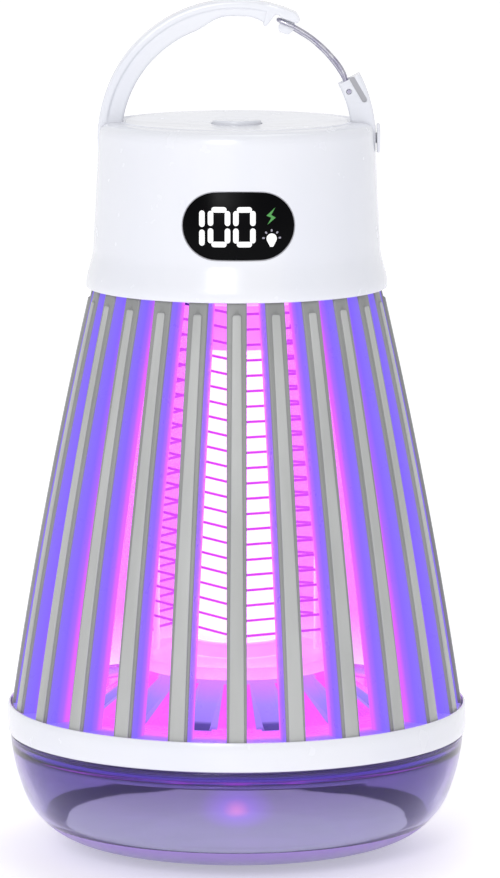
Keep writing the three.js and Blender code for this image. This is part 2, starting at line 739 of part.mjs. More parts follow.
// The section of a two-start thread on a wall: one ridge from each start, and flush between them.
function threadSection(degrees, from, span, wallR, crestR) {
  const turn = (degrees - from + 360) % 180;
  const share = turn <= span ? turn : span * (180 - turn) / (180 - span);
  const z = THREAD_LEAD * share / 360;
  const crest = turn <= span ? crestR : wallR;
  const half = THREAD_THICK / 2;
  return [
    [wallR, z - half - THREAD_FLANK], [crest, z - half],
    [crest, z + half], [wallR, z + half + THREAD_FLANK],
  ];
}

function baseRing() {
  const outline = [
    [RING_BORE_R, RING_LOW], [54.7, RING_LOW], [55.15, RING_LOW + 0.5], [RING_R, RING_LOW + 1.6],
    [RING_R, RING_HIGH - 2], [55.15, RING_HIGH - 0.7], [54.95, RING_HIGH], [RING_LIP_R, RING_HIGH],
    [RING_LIP_R, RING_SHELF_Z], [RING_BORE_R, RING_SHELF_Z],
  ];
  return spun((degrees) => {
    const ridge = threadSection(degrees, 0, 90, RING_BORE_R, NECK_OUTER_R + THREAD_PLAY);
    return [...outline, ...ridge.reverse().map(([r, z]) => [r, z + RING_THREAD_Z])];
  });
}

function trapFloor() {
  const skin = lathe([
    [0, CONE_TOP_Z - 2], [CONE_TOP_R - 0.6, CONE_TOP_Z - 2], [CONE_FOOT_R - 0.8, FLOOR_LOW],
    [FLANGE_R, FLOOR_LOW], [FLANGE_R, RING_SHELF_Z], [CAGE_FLOOR_BORE_R - 0.4, RING_SHELF_Z],
    [CAGE_FLOOR_BORE_R - 0.4, FLOOR_TOP], [CONE_FOOT_R, FLOOR_TOP], [CONE_TOP_R, CONE_TOP_Z - 0.5],
    [CONE_TOP_R - 0.5, CONE_TOP_Z], [0, CONE_TOP_Z],
  ]);
  const half = CHUTE_WIDTH / 2;
  const trough = prismAlongX(polygon([
    [CONE_TOP_R - 3, 43.9], [CONE_TOP_R - 3, 40.4], [HOLE_INNER_R + 1, FLOOR_LOW],
    [HOLE_OUTER_R + 1, FLOOR_LOW], [HOLE_OUTER_R + 1, FLOOR_LOW + 1], [HOLE_INNER_R + 1.2, 37.6],
  ]), -half - 1.2, half + 1.2);
  const channel = prismAlongX(polygon([
    [CONE_TOP_R - 0.4, 43.2], [HOLE_INNER_R, 35.2], [HOLE_OUTER_R, 35.2], [HOLE_OUTER_R, 48],
    [CONE_TOP_R - 0.4, 48],
  ]), -half, half);
  const hole = box([-half, half], [HOLE_INNER_R, HOLE_OUTER_R], [20, 48]);
  const screwHole = cylinder(FLOOR_SCREW_CLEAR_R, 20, 40, 12).translate(FLOOR_SCREW_CIRCLE_R, 0, 0);
  return cut(
    join(skin, ...copiesAround(trough, CHUTES, 15)),
    ...copiesAround(channel, CHUTES, 15), ...copiesAround(hole, CHUTES, 15),
    ...copiesAround(screwHole, FLOOR_SCREWS, FLOOR_SCREW_START));
}

// ---------------------------------------------------------------- catch tray

// A thin-walled bowl whose neck screws into the base ring; its points on the axis are merged at the end.
function tray() {
  const outside = [
    [0, 0], [25.4, 0], [27.5, 0.55], [43, 3.9], [46.0, 5.0], [48.2, 7.0], [50.0, 9.8],
    [51.6, 13.2], [53.2, 18.6], [54.4, 25.0], [54.6, TRAY_TOP],
  ];
  const rim = [
    [53.4, TRAY_TOP], [53.4, 26.9], [NECK_OUTER_R, 26.9],
  ];
  const neck = [
    [NECK_OUTER_R, NECK_TOP], [NECK_INNER_R, NECK_TOP], [NECK_INNER_R, 27.0],
  ];
  const inside = [
    [51.9, 25.0], [50.8, 18.6], [49.2, 13.6], [46.6, 9.0], [43.5, 6.5], [40.0, 5.6],
    [27.0, 2.8], [24.5, 2.4], [0, 2.4],
  ];
  return toGeometry(toSolid(spun((degrees) => {
    const ridge = threadSection(degrees, -45, 67.5, NECK_OUTER_R, RING_BORE_R - THREAD_PLAY);
    return [...outside, ...rim, ...ridge.map(([r, z]) => [r, z + TRAY_THREAD_Z]), ...neck, ...inside];
  })));
}

function trayGasket() {
  return lathe([[51.0, 27.2], [53.0, 27.2], [53.0, 28.15], [51.0, 28.15]]);
}

// ---------------------------------------------------------------- assembly

function headGroup() {
  const group = new THREE.Group();
  group.add(
    piece('head_shell', headShell(), FINISH.whitePlastic()),
    piece('head_chassis', headChassis(), FINISH.whitePlastic()),
    piece('power_button', powerButton(), FINISH.whitePlastic()),
    piece('switch_body', tactSwitch(), FINISH.blackPlastic()),
    piece('switch_plunger', switchPlunger(), FINISH.blackPlastic()),
    piece('display_lens', displayLens(), FINISH.lens()),
    piece('display_module', displayModule(), FINISH.blackPlastic()),
    piece('control_board', controlBoard(), FINISH.circuitBoard()),
    piece('hv_transformer', transformer(), FINISH.ceramic()),
    piece('hv_capacitor', capacitor(), FINISH.ceramic(), {
      position: [-12, 0, 156.2],
      rotation: [Math.PI / 2, 0, 0],
    }),
    piece('battery_pack', batteryPack(), FINISH.batteryWrap()),
    piece('usb_socket', usbSocket(), FINISH.steel()),
  );
  for (let i = 0; i < 4; i += 1) {
    const [x, y] = onCircle(BOSS_CIRCLE_R, BOSS_START + 90 * i);
    group.add(piece(`chassis_screw_${i + 1}`, screw(2.4, 1.4, 1.1, 10), FINISH.steel(), {
      position: [x, y, CAGE_TOP_Z - 0.1],
    }));
  }
  return group;
}

function handleGroup() {
  const group = new THREE.Group();
  group.position.z = PIVOT_Z;
  group.add(
    piece('handle_arm', handleArm(), FINISH.whitePlastic()),
    piece('handle_stub', handleStub(), FINISH.whitePlastic()),
    piece('handle_pin_left', pivotPin(PIN_CAP_R.left, 32.1, 32.85), FINISH.whitePlastic(), {
      rotation: [0, 0, Math.PI],
    }),
    piece('handle_pin_right', pivotPin(PIN_CAP_R.right, BAIL_R + GAP, 34.05), FINISH.whitePlastic()),
    piece('wire_gate', wireGate(), FINISH.steel()),
  );
  return group;
}

function lampGroup() {
  const group = new THREE.Group();
  group.add(
    piece('lamp_tube', lampTube(), FINISH.lampGlass()),
    piece('lamp_led_board', ledBoard(), FINISH.circuitBoard()),
    piece('lamp_top_cap', lampTopCap(), FINISH.whitePlastic()),
    piece('lamp_bottom_cap', lampBottomCap(), FINISH.whitePlastic()),
    piece('grid_wire_live', gridWire(0, GRID_LOW, GRID_HIGH), FINISH.steel()),
    piece('grid_wire_return', gridWire(180, GRID_LOW, GRID_HIGH), FINISH.steel()),
    piece('grid_top_plate', gridTopPlate(), FINISH.whitePlastic()),
    piece('grid_collar', gridCollar(), FINISH.floorPlastic()),
  );
  ['right', 'back', 'left', 'front'].forEach((side, i) => {
    const [x, y] = onCircle(POST_DIAGONAL, 90 * i);
    group.add(piece(`grid_post_${side}`, gridPost(), FINISH.whitePlastic(), { position: [x, y, 0] }));
  });
  return group;
}

function bodyGroup() {
  const group = new THREE.Group();
  group.add(
    piece('cage', cage(), FINISH.greyPlastic()),
    piece('base_ring', baseRing(), FINISH.whitePlastic()),
    piece('trap_floor', trapFloor(), FINISH.floorPlastic()),
    piece('tray', tray(), FINISH.trayPlastic()),
    piece('tray_gasket', trayGasket(), FINISH.silicone()),
  );
  for (let i = 0; i < FLOOR_SCREWS; i += 1) {
    const [x, y] = onCircle(FLOOR_SCREW_CIRCLE_R, FLOOR_SCREW_START + i * 360 / FLOOR_SCREWS);
    group.add(piece(`floor_screw_${i + 1}`, screw(1.7, 1.0, 0.75, 3.8), FINISH.steel(), {
      position: [x, y, FLOOR_LOW - 1.0 - GAP],
    }));
  }
  return group;
}

const zapper = new THREE.Group();
zapper.add(headGroup(), handleGroup(), lampGroup(), bodyGroup());
zapper.updateMatrixWorld(true);

export default zapper;
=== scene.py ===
"""Looks of a lantern-style insect zapper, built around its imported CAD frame.

Shapes are worked out in millimetres, and become metres when a mesh is made. The main sizes come from the
boxes of the CAD nodes.
"""
import json
import math

import bmesh
import bpy
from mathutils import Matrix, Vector


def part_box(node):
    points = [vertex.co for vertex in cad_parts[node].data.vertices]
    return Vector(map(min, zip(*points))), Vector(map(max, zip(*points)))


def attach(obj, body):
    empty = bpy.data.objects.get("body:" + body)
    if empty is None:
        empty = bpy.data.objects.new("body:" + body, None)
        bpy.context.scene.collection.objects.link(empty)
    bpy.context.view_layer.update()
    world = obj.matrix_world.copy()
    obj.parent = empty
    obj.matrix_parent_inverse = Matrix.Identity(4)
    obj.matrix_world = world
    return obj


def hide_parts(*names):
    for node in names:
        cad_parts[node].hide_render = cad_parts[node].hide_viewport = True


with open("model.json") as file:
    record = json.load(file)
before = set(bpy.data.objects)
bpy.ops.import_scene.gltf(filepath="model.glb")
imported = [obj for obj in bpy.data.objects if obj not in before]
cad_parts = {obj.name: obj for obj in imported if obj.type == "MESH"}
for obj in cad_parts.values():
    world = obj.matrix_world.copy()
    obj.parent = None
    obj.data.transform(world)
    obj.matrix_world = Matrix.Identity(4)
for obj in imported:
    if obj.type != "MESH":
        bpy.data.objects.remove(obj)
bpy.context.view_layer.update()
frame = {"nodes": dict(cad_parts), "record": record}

MM = 0.001

# ---------------------------------------------------------------- sizes from the frame


def low(node):
    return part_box(node)[0] / MM


def high(node):
    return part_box(node)[1] / MM


def joint_place(name):
    joint = next(j for j in frame["record"]["behaviour"]["joints"] if j["name"] == name)
    return Vector(joint["pos_m"]) / MM


GAP = 0.3
ROUND = 192

RING_R = high("base_ring").x
RING_LOW = low("base_ring").z
RING_HIGH = high("base_ring").z

HEAD_LOW = low("head_shell").z
HEAD_HIGH = high("head_shell").z
HEAD_R = high("head_shell").x
BARREL_RISE = 8.4
BARREL_LENGTH = 26
BARREL_FOOT_R = 34.25
BARREL_TOP_R = 32.9
CAVITY_R = 31
CAVITY_LOW = 141.3
CAVITY_HIGH = 164.4
WELL_R = 17
WELL_HIGH = 172.0
CHASSIS_SEAT_R = 32.6
CHASSIS_SEAT_LOW = 138.5
HEAD_INNER_LOW = 138.4
CHARGING_PORT = (11.0, 5.2)
CHARGING_PORT_Z = 159.0

BUTTON_TOP = high("power_button").z
BUTTON_R = 5.8
BUTTON_STEM_R = 2.4
BUTTON_STEM_LOW = 167.8
BUTTON_FLANGE_R = 7.6
BUTTON_FLANGE_LOW = 170.4
BUTTON_FLANGE_HIGH = 171.6
DIMPLE_R = 0.55
DIMPLE_X = 2.5

CAGE_LOW = low("cage").z
CAGE_FOOT_R = high("cage").x
CAGE_TOP = HEAD_LOW - 0.2
CAGE_TOP_R = HEAD_R - 1.05
CAGE_BULGE = 2.1
SLATS = 24
SLAT_LOW = CAGE_LOW + 0.9
SLAT_THICK = 4.7
SLAT_DEPTH = 7.2
RIB_RISE = 0.45
RIB_SHARE = 0.03
STRIP_SHARE = 0.14

PIVOT = joint_place("handle_fold")
GATE_PIVOT = joint_place("gate_swing") - PIVOT
BAIL_R = high("handle_stub").x
BAIL_INNER_R = 27.3
BAIL_SADDLE_R = 29.1
BAIL_HALF_DEPTH = high("handle_stub").y
BAIL_FLANGE_R = 31.2
FOLD_DEGREES = 60
ARM_FROM = 180
ARM_TO = 75
STUB_END = 28
PIN_R = 1.25
PIN_FROM = 21.2
LEFT_CAP_R = 2.4
LEFT_CAP_FROM = 32.1
LEFT_CAP_TO = 32.85
RIGHT_CAP_R = 3.5
RIGHT_CAP_TO = 34.05
GATE_WIRE_R = 0.5
GATE_HALF_SPREAD = 1.7

LAMP_LOW = low("lamp_tube").z
LAMP_HIGH = high("lamp_tube").z
LAMP_R = high("lamp_tube").x

WIRE_R = 0.32
GRID_CORNER = high("grid_wire_live").x - WIRE_R
GRID_PITCH = 7.33
GRID_TOP = high("grid_wire_live").z - WIRE_R
GRID_LOW = low("grid_wire_live").z + WIRE_R
POST_CENTRE = (high("grid_post_right").x + low("grid_post_right").x) / 2

FLOOR_TOP = high("trap_floor").z
FUNNEL_BASE = 34.6
FLANGE_LOW = 31.9
FLANGE_HIGH = 33.0
CHUTES = 12
CHUTE_HALF = 2.8
CHUTE_WALL = 1.2
CHUTE_OUTER_R = 36.2
HOLE_INNER_R = 29.0
# Size of the shell that carries the painted lamp glow.
GLOW_SHELL_TOP_R = 25.5
GLOW_SHELL_FOOT_R = 42.0
GLOW_SHELL_LOW = 42.0
GLOW_SHELL_FULL = 52

TRAY_TOP = 28.1
NECK_TOP = high("tray").z
NECK_INNER_R = 49.0
NECK_OUTER_R = 50.6
TRAY_FLOOR_R = 41
UNDERSIDE_R = 47

DISPLAY_X = (low("display_lens").x + high("display_lens").x) / 2
DISPLAY_Z = (low("display_lens").z + high("display_lens").z) / 2
DISPLAY_WIDTH = high("display_lens").x - low("display_lens").x
DISPLAY_HEIGHT = high("display_lens").z - low("display_lens").z


# ---------------------------------------------------------------- light and camera

FLOOR_R = 4000
FLOOR_DEPTH = 20
FLOOR_GLOW = 0.34
LIGHT_TARGET = (0.0, 0.0, 0.1)
WALL_TURN = (0.1, 0.85)
WALL_LEVEL = (0.62, 1.0)
EYE = (0, -1.335, 0.292)
PITCH = 8.24
LENS = 230.9
SENSOR_HEIGHT = 36
SHIFT_X = 0.0151
CLIP_END = 20


# ---------------------------------------------------------------- outlines


def polar(radius, degrees):
    return radius * math.cos(math.radians(degrees)), radius * math.sin(math.radians(degrees))


def circle(radius, steps):
    return [polar(radius, 360 * k / steps) for k in range(steps)]


def half_circle(radius, steps):
    """From the lowest point to the highest, on the positive side."""
    return [polar(radius, -90 + 180 * k / steps) for k in range(steps + 1)]


def clamp(value):
    return min(max(value, 0), 1)


def rounded(corners, closed=True, steps=4):
    """Points of an outline whose corners (a, b, reach) are rounded over that reach along both sides."""
    points = []
    count = len(corners)
    for i, (a, b, reach) in enumerate(corners):
        corner = Vector((a, b))
        if reach == 0 or (not closed and i in (0, count - 1)):
            points.append(corner)
            continue
        before = Vector(corners[i - 1][:2]) - corner
        after = Vector(corners[(i + 1) % count][:2]) - corner
        start = corner + before.normalized() * min(reach, before.length * 0.49)
        end = corner + after.normalized() * min(reach, after.length * 0.49)
        for k in range(steps + 1):
            s = k / steps
            points.append(start * (1 - s) ** 2 + corner * 2 * s * (1 - s) + end * s ** 2)
    return points


def pill(width, height, steps=24):
    radius = height / 2
    straight = (width - height) / 2
    points = []
    for side, turn in ((1, -90), (-1, 90)):
        for k in range(steps + 1):
            a, b = polar(radius, turn + 180 * k / steps)
            points.append(Vector((a + side * straight, b)))
    return points


# ---------------------------------------------------------------- meshes


def skin(sections, around=False, close_section=True):
    """Vertices and faces of a surface through sections of equal length; open ends get caps."""
    count = len(sections[0])
    vertices = [point for section in sections for point in section]
    faces = []
    rows = len(sections) if around else len(sections) - 1
    for row in range(rows):
        here = row * count
        there = ((row + 1) % len(sections)) * count
        for i in range(count if close_section else count - 1):
            after = (i + 1) % count
            faces.append((here + i, there + i, there + after, here + after))
    if not around and close_section:
        faces.append(tuple(range(count)))
        faces.append(tuple(range(len(vertices) - 1, len(vertices) - 1 - count, -1)))
    return vertices, faces


def lathe(profile, closed=True, segments=ROUND):
    sections = []
    for k in range(segments):
        angle = 2 * math.pi * k / segments
        sections.append([Vector((r * math.cos(angle), r * math.sin(angle), z)) for r, z in profile])
    return skin(sections, around=True, close_section=closed)


def along_y(outline, near, far):
    return skin([[Vector((a, y, b)) for a, b in outline] for y in (near, far)])


def along_x(outline, near, far):
    return skin([[Vector((x, a, b)) for a, b in outline] for x in (near, far)])


def along_z(outline, near, far):
    return skin([[Vector((a, b, z)) for a, b in outline] for z in (near, far)])


def moved(shape, offset):
    return [point + Vector(offset) for point in shape[0]], shape[1]


def turned(shape, degrees):
    """A shape turned about the Z axis."""
    cosine, sine = polar(1, degrees)
    points = [Vector((p.x * cosine - p.y * sine, p.x * sine + p.y * cosine, p.z)) for p in shape[0]]
    return points, shape[1]


def together(shapes):
    vertices, faces = [], []
    for points, polygons in shapes:
        start = len(vertices)
        vertices += points
        faces += [tuple(start + i for i in polygon) for polygon in polygons]
    return vertices, faces


def make(name, shape):
    """An object from millimetre vertices and faces, with its doubled points merged and faces turned out."""
    mesh = bpy.data.meshes.new(name)
    mesh.from_pydata([tuple(point * MM) for point in shape[0]], [], shape[1])
    work = bmesh.new()
    work.from_mesh(mesh)
    bmesh.ops.remove_doubles(work, verts=work.verts, dist=0.001 * MM)
    bmesh.ops.recalc_face_normals(work, faces=work.faces)
    work.to_mesh(mesh)
    work.free()
    piece = bpy.data.objects.new(name, mesh)
    bpy.context.collection.objects.link(piece)
    return piece


def bake(piece):
    """Applies a piece's modifiers to its mesh."""
    graph = bpy.context.evaluated_depsgraph_get()
    mesh = bpy.data.meshes.new_from_object(piece.evaluated_get(graph))
    piece.modifiers.clear()
    piece.data = mesh


def carve(piece, tool, operation="DIFFERENCE"):
    modifier = piece.modifiers.new("carve", "BOOLEAN")
    modifier.object = tool
    modifier.operation = operation
    modifier.solver = "EXACT"
    bake(piece)
    bpy.data.objects.remove(tool)


def soften(piece, width=0.25, segments=2, angle=35):
    modifier = piece.modifiers.new("edges", "BEVEL")
    modifier.width = width * MM
    modifier.segments = segments
    modifier.limit_method = "ANGLE"
    modifier.angle_limit = math.radians(angle)
    modifier.harden_normals = False
    bake(piece)


def smooth(piece, angle=40):
    piece.data.shade_smooth()
    piece.data.set_sharp_from_angle(angle=math.radians(angle))


def dress(piece, materials, body, slot, *nodes):
    """Gives a piece its materials, the body it rides on and the CAD nodes it stands for; its slot is not
    used.
    """
    for material in materials if isinstance(materials, list) else [materials]:
        piece.data.materials.append(material)
    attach(piece, body)
    if nodes:
        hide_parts(*nodes)
    return piece


def wire(name, points, radius, resolution=4):
    """A round wire through millimetre points, as a poly curve."""
    curve = bpy.data.curves.new(name, "CURVE")
    curve.dimensions = "3D"
    curve.bevel_depth = radius * MM
    curve.bevel_resolution = resolution
    curve.use_fill_caps = True
    spline = curve.splines.new("POLY")
    spline.points.add(len(points) - 1)
    for point, place in zip(spline.points, points):
        point.co = (*(Vector(place) * MM), 1)
    piece = bpy.data.objects.new(name, curve)
    bpy.context.collection.objects.link(piece)
    return piece


# ---------------------------------------------------------------- materials


class Finish:
    """A procedural material around one Principled shader, in object space."""

    def __init__(self, name, color, roughness, **sockets):
        self.material = bpy.data.materials.new(name)
        self.material.use_nodes = True
        self.nodes = self.material.node_tree.nodes
        self.links = self.material.node_tree.links
        self.shader = self.nodes["Principled BSDF"]
        self.set("Base Color", (*color, 1))
        self.set("Roughness", roughness)
        for socket, value in sockets.items():
            self.set(socket.replace("_", " "), value)
        self.place = self.nodes.new("ShaderNodeTexCoord").outputs["Object"]

    def set(self, socket, value):
        self.shader.inputs[socket].default_value = value

    def noise(self, size, detail=4, stretch=(1, 1, 1)):
        """Noise whose grains are about size millimetres wide."""
        mapping = self.nodes.new("ShaderNodeMapping")
        mapping.inputs["Scale"].default_value = [s / (size * MM) for s in stretch]
        texture = self.nodes.new("ShaderNodeTexNoise")
        texture.inputs["Scale"].default_value = 1
        texture.inputs["Detail"].default_value = detail
        self.links.new(self.place, mapping.inputs["Vector"])
        self.links.new(mapping.outputs["Vector"], texture.inputs["Vector"])
        return texture.outputs["Fac"]

    def remap(self, value, low_in, high_in, low_out, high_out):
        node = self.nodes.new("ShaderNodeMapRange")
        node.inputs["From Min"].default_value = low_in
        node.inputs["From Max"].default_value = high_in
        node.inputs["To Min"].default_value = low_out
        node.inputs["To Max"].default_value = high_out
        self.links.new(value, node.inputs["Value"])
        return node.outputs["Result"]

    def ramp(self, value, stops):
        node = self.nodes.new("ShaderNodeValToRGB")
        elements = node.color_ramp.elements
        while len(elements) < len(stops):
            elements.new(0.5)
        for element, (position, color) in zip(elements, stops):
            element.position = position
            element.color = (*color, 1)
        self.links.new(value, node.inputs["Fac"])
        return node.outputs["Color"]

    def vary_roughness(self, size, least, most):
        self.links.new(self.remap(self.noise(size), 0.3, 0.7, least, most), self.shader.inputs["Roughness"])
        return self

    def vary_color(self, size, one, other, stretch=(1, 1, 1)):
        color = self.ramp(self.noise(size, 3, stretch), [(0.35, one), (0.65, other)])
        self.links.new(color, self.shader.inputs["Base Color"])
        return self

    def grain(self, size, depth, stretch=(1, 1, 1)):
        bump = self.nodes.new("ShaderNodeBump")
        bump.inputs["Strength"].default_value = 0.6
        bump.inputs["Distance"].default_value = depth * MM
        self.links.new(self.noise(size, 6, stretch), bump.inputs["Height"])
        self.links.new(bump.outputs["Normal"], self.shader.inputs["Normal"])
        return self

    def height(self, low_z, high_z):
        """0 at low_z and 1 at high_z, in millimetres."""
        split = self.nodes.new("ShaderNodeSeparateXYZ")
        self.links.new(self.place, split.inputs["Vector"])
        return self.remap(split.outputs["Z"], low_z * MM, high_z * MM, 0, 1)

    def distance(self, centre, reach):
        """0 above a point of the base, and 1 on an ellipse of that reach round it, in millimetres."""
        mapping = self.nodes.new("ShaderNodeMapping")
        mapping.inputs["Location"].default_value = (-centre[0] / reach[0], -centre[1] / reach[1], 0)
        mapping.inputs["Scale"].default_value = (1 / (reach[0] * MM), 1 / (reach[1] * MM), 0)
        length = self.nodes.new("ShaderNodeVectorMath")
        length.operation = "LENGTH"
        self.links.new(self.place, mapping.inputs["Vector"])
        self.links.new(mapping.outputs["Vector"], length.inputs[0])
        return length.outputs["Value"]

    def attribute(self, name):
        node = self.nodes.new("ShaderNodeAttribute")
        node.attribute_name = name
        return node.outputs["Fac"]

    def glow(self, color_output, strength):
        self.links.new(color_output, self.shader.inputs["Emission Color"])
        self.set("Emission Strength", strength)
        return self


def white_plastic():
    finish = Finish("white_gloss_plastic", (0.79, 0.8, 0.85), 0.22, Coat_Weight=0.2, Coat_Roughness=0.08)
    finish.vary_color(22, (0.775, 0.79, 0.85), (0.805, 0.815, 0.86), (1, 1, 0.25))
    finish.vary_roughness(6, 0.18, 0.28)
    return finish.grain(0.9, 0.004).material


def grey_plastic(name, level):
    """Satin grey plastic at a level of lightness, faintly streaked along the slats."""
    finish = Finish(name, (level, level, level), 0.5, Specular_IOR_Level=0.3)
    pale = (1.06 * level, 1.08 * level, 1.06 * level)
    deep = (0.93 * level, 0.95 * level, 0.93 * level)
    finish.vary_color(9, deep, pale, (1, 1, 0.15))
    finish.vary_roughness(2, 0.36, 0.5)
    return finish.grain(0.5, 0.01).material


# Painted lamp light on the slats' sides, from their outer edges (0) to their inner edges (1): blue-violet
# outwards and magenta towards the lamp.
SIDE_PAINTED_GLOW = [
    (0.0, (0.3, 0.27, 0.6)), (0.12, (0.25, 0.19, 0.8)), (0.45, (0.24, 0.16, 0.95)),
    (0.68, (0.42, 0.16, 0.95)), (0.82, (0.85, 0.15, 0.98)), (1.0, (0.9, 0.16, 1.0)),
]
LAMP_ENDS = [
    (0.0, (0.7, 0.1, 0.9)), (0.06, (0.75, 0.3, 1.0)), (0.94, (0.75, 0.3, 1.0)), (1.0, (0.7, 0.1, 0.9)),
]
# Painted light and shade down the chutes: dark shade low down by the holes, and a lavender glow of the lamp's
# light above.
CHUTE_PAINTED_LIGHT_AND_SHADE = [
    (0.0, (0.05, 0.04, 0.16)), (0.24, (0.07, 0.05, 0.22)), (0.3, (0.3, 0.22, 0.75)),
    (1.0, (0.42, 0.31, 0.92)),
]
# Violet tint of the clear tray by height; the darkening towards the top is painted shade under the ring, and
# the bottom edge is a deeper violet.
TRAY_TINT_AND_PAINTED_SHADE = [
    (0.0, (0.2, 0.15, 0.55)), (0.06, (0.4, 0.36, 0.66)), (0.2, (0.44, 0.4, 0.66)), (0.5, (0.38, 0.34, 0.6)),
    (0.8, (0.26, 0.2, 0.48)),
]
# Painted light on the tray's base: the lamp's spot near the back, fading to a painted glow over the rest.
TRAY_BASE_PAINTED_LIGHT = [
    (0.0, (1.0, 0.5, 0.5)), (0.02, (0.9, 0.45, 0.5)), (0.08, (0.38, 0.38, 0.5)), (0.22, (0.27, 0.4, 0.18)),
    (1.0, (0.25, 0.37, 0.17)),
]
# Underside tint by distance from the middle; the lighter violet at the outer edge is a painted highlight.
TRAY_FOOT_TINT_AND_PAINTED_HIGHLIGHT = [(0.5, (0.2, 0.18, 0.36)), (0.85, (0.26, 0.22, 0.44)), (0.95, (0.34, 0.22, 0.6))]


def side_plastic_painted_glow():
    """The slats' sides, with a painted glow that stands in for the lamp's light, running from their inner
    edges outwards.
    """
    finish = Finish("grey_plastic_side_painted_glow", (0.06, 0.03, 0.2), 0.4, Specular_IOR_Level=0.2)
    finish.vary_roughness(3, 0.25, 0.4)
    finish.grain(0.5, 0.01)
    return finish.glow(finish.ramp(finish.attribute("depth"), SIDE_PAINTED_GLOW), 0.85).material


def lamp_glow():
    finish = Finish("milky_lamp_tube", (0.9, 0.8, 1.0), 0.3)
    finish.grain(1.5, 0.01)
    return finish.glow(finish.ramp(finish.height(LAMP_LOW, LAMP_HIGH), LAMP_ENDS), 8).material


# White plastic with a painted pink glow that stands in for the lamp's light on the caps, posts and collar
# round it.
def painted_glow_white_plastic():
    finish = Finish("white_plastic_painted_lamp_glow", (0.9, 0.8, 0.95), 0.3)
    finish.vary_roughness(3, 0.25, 0.4)
    stops = [(0.3, (0.85, 0.4, 0.95)), (0.7, (0.95, 0.55, 1.0))]
    return finish.glow(finish.ramp(finish.noise(5), stops), 0.7).material


def painted_lamp_glow_shell():
    """A painted violet glow on a thin shell, standing in for the lamp's light in the air round it; it thins
    out towards the funnel.
    """
    finish = Finish("painted_violet_glow", (0.3, 0.03, 0.4), 1.0, Specular_IOR_Level=0.0)
    finish.glow(finish.ramp(finish.noise(30), [(0.3, (0.9, 0.09, 0.95)), (0.7, (1.0, 0.12, 1.0))]), 0.9)
    stops = [(0.0, (0, 0, 0)), (1.0, (0.37, 0.37, 0.37))]
    thinning = finish.ramp(finish.height(GLOW_SHELL_LOW, GLOW_SHELL_FULL), stops)
    finish.links.new(thinning, finish.shader.inputs["Alpha"])
    return finish.material


# Dark bluish steel with a painted violet glow that stands in for the lamp's light on the wires.
def grid_steel_painted_glow():
    finish = Finish("grid_wire_steel_painted_glow", (0.02, 0.02, 0.09), 0.35, Metallic=1.0)
    finish.vary_roughness(1.5, 0.22, 0.4)
    finish.grain(0.6, 0.004, (1, 1, 4))
    stops = [(0.3, (0.02, 0.02, 0.22)), (0.7, (0.1, 0.03, 0.36))]
    return finish.glow(finish.ramp(finish.noise(3), stops), 0.5).material


def gate_steel():
    finish = Finish("spring_wire_steel", (0.55, 0.54, 0.6), 0.24, Metallic=1.0)
    finish.vary_color(2.5, (0.42, 0.4, 0.52), (0.66, 0.65, 0.7))
    finish.vary_roughness(1.2, 0.18, 0.34)
    return finish.grain(0.4, 0.003).material


# Purple plastic with a painted pink glow that stands in for the lamp's light on the cone.
def funnel_plastic():
    finish = Finish("funnel_painted_pink_glow", (0.3, 0.05, 0.4), 0.35, Specular_IOR_Level=0.3)
    finish.vary_roughness(4, 0.22, 0.36)
    finish.grain(0.8, 0.006)
    stops = [(0.3, (0.75, 0.1, 0.8)), (0.75, (0.92, 0.15, 1.0))]
    return finish.glow(finish.ramp(finish.noise(14), stops), 0.8).material


# The chutes' plastic, with painted shade by the holes and a painted lavender glow above them.
def chute_plastic():
    finish = Finish("lavender_chute_painted_light_and_shade", (0.12, 0.1, 0.3), 0.35, Specular_IOR_Level=0.3)
    finish.vary_roughness(3, 0.24, 0.38)
    finish.grain(0.8, 0.006)
    color = finish.ramp(finish.height(FUNNEL_BASE - 3, FLOOR_TOP), CHUTE_PAINTED_LIGHT_AND_SHADE)
    return finish.glow(color, 0.85).material


def clear_tray():
    finish = Finish("clear_violet_plastic", (0.6, 0.57, 0.78), 0.05, Transmission_Weight=1.0, IOR=1.4)
    color = finish.ramp(finish.height(0, TRAY_TOP), TRAY_TINT_AND_PAINTED_SHADE)
    finish.links.new(color, finish.shader.inputs["Base Color"])
    finish.vary_roughness(8, 0.03, 0.07)
    return finish.grain(12, 0.05).material


def tray_base():
    """The frosted inside of the tray's base, with a painted spot of the lamp's light near the back and a
    painted glow over the rest.
    """
    finish = Finish("frosted_tray_base_painted_light", (0.7, 0.68, 0.8), 0.4)
    finish.vary_color(18, (0.66, 0.64, 0.76), (0.76, 0.74, 0.86))
    finish.vary_roughness(5, 0.28, 0.42)
    finish.grain(1.2, 0.01)
    color = finish.ramp(finish.distance((0, 26), (44, 110)), TRAY_BASE_PAINTED_LIGHT)
    return finish.glow(color, 1.9).material


def tray_foot():
    """The frosted underside of the tray, more violet towards its outer edge, where the lighter violet is a
    painted highlight.
    """
    finish = Finish("frosted_tray_foot", (0.28, 0.26, 0.45), 0.35)
    color = finish.ramp(finish.distance((0, 0), (50, 50)), TRAY_FOOT_TINT_AND_PAINTED_HIGHLIGHT)
    finish.links.new(color, finish.shader.inputs["Base Color"])
    finish.vary_roughness(5, 0.28, 0.42)
    return finish.grain(1.2, 0.01).material


def black_window():
    finish = Finish("smoked_display_window", (0.001, 0.001, 0.0015), 0.3, Specular_IOR_Level=0.06)
    finish.vary_roughness(7, 0.24, 0.36)
    return finish.grain(3, 0.002).material


# Grey for the thin gap round the display window and the floor of the stub's groove: painted shade in both.
def gap_painted_shade():
    finish = Finish("gap_painted_shade", (0.4, 0.4, 0.43), 0.5)
    finish.vary_roughness(2, 0.4, 0.6)
    return finish.grain(0.6, 0.005).material


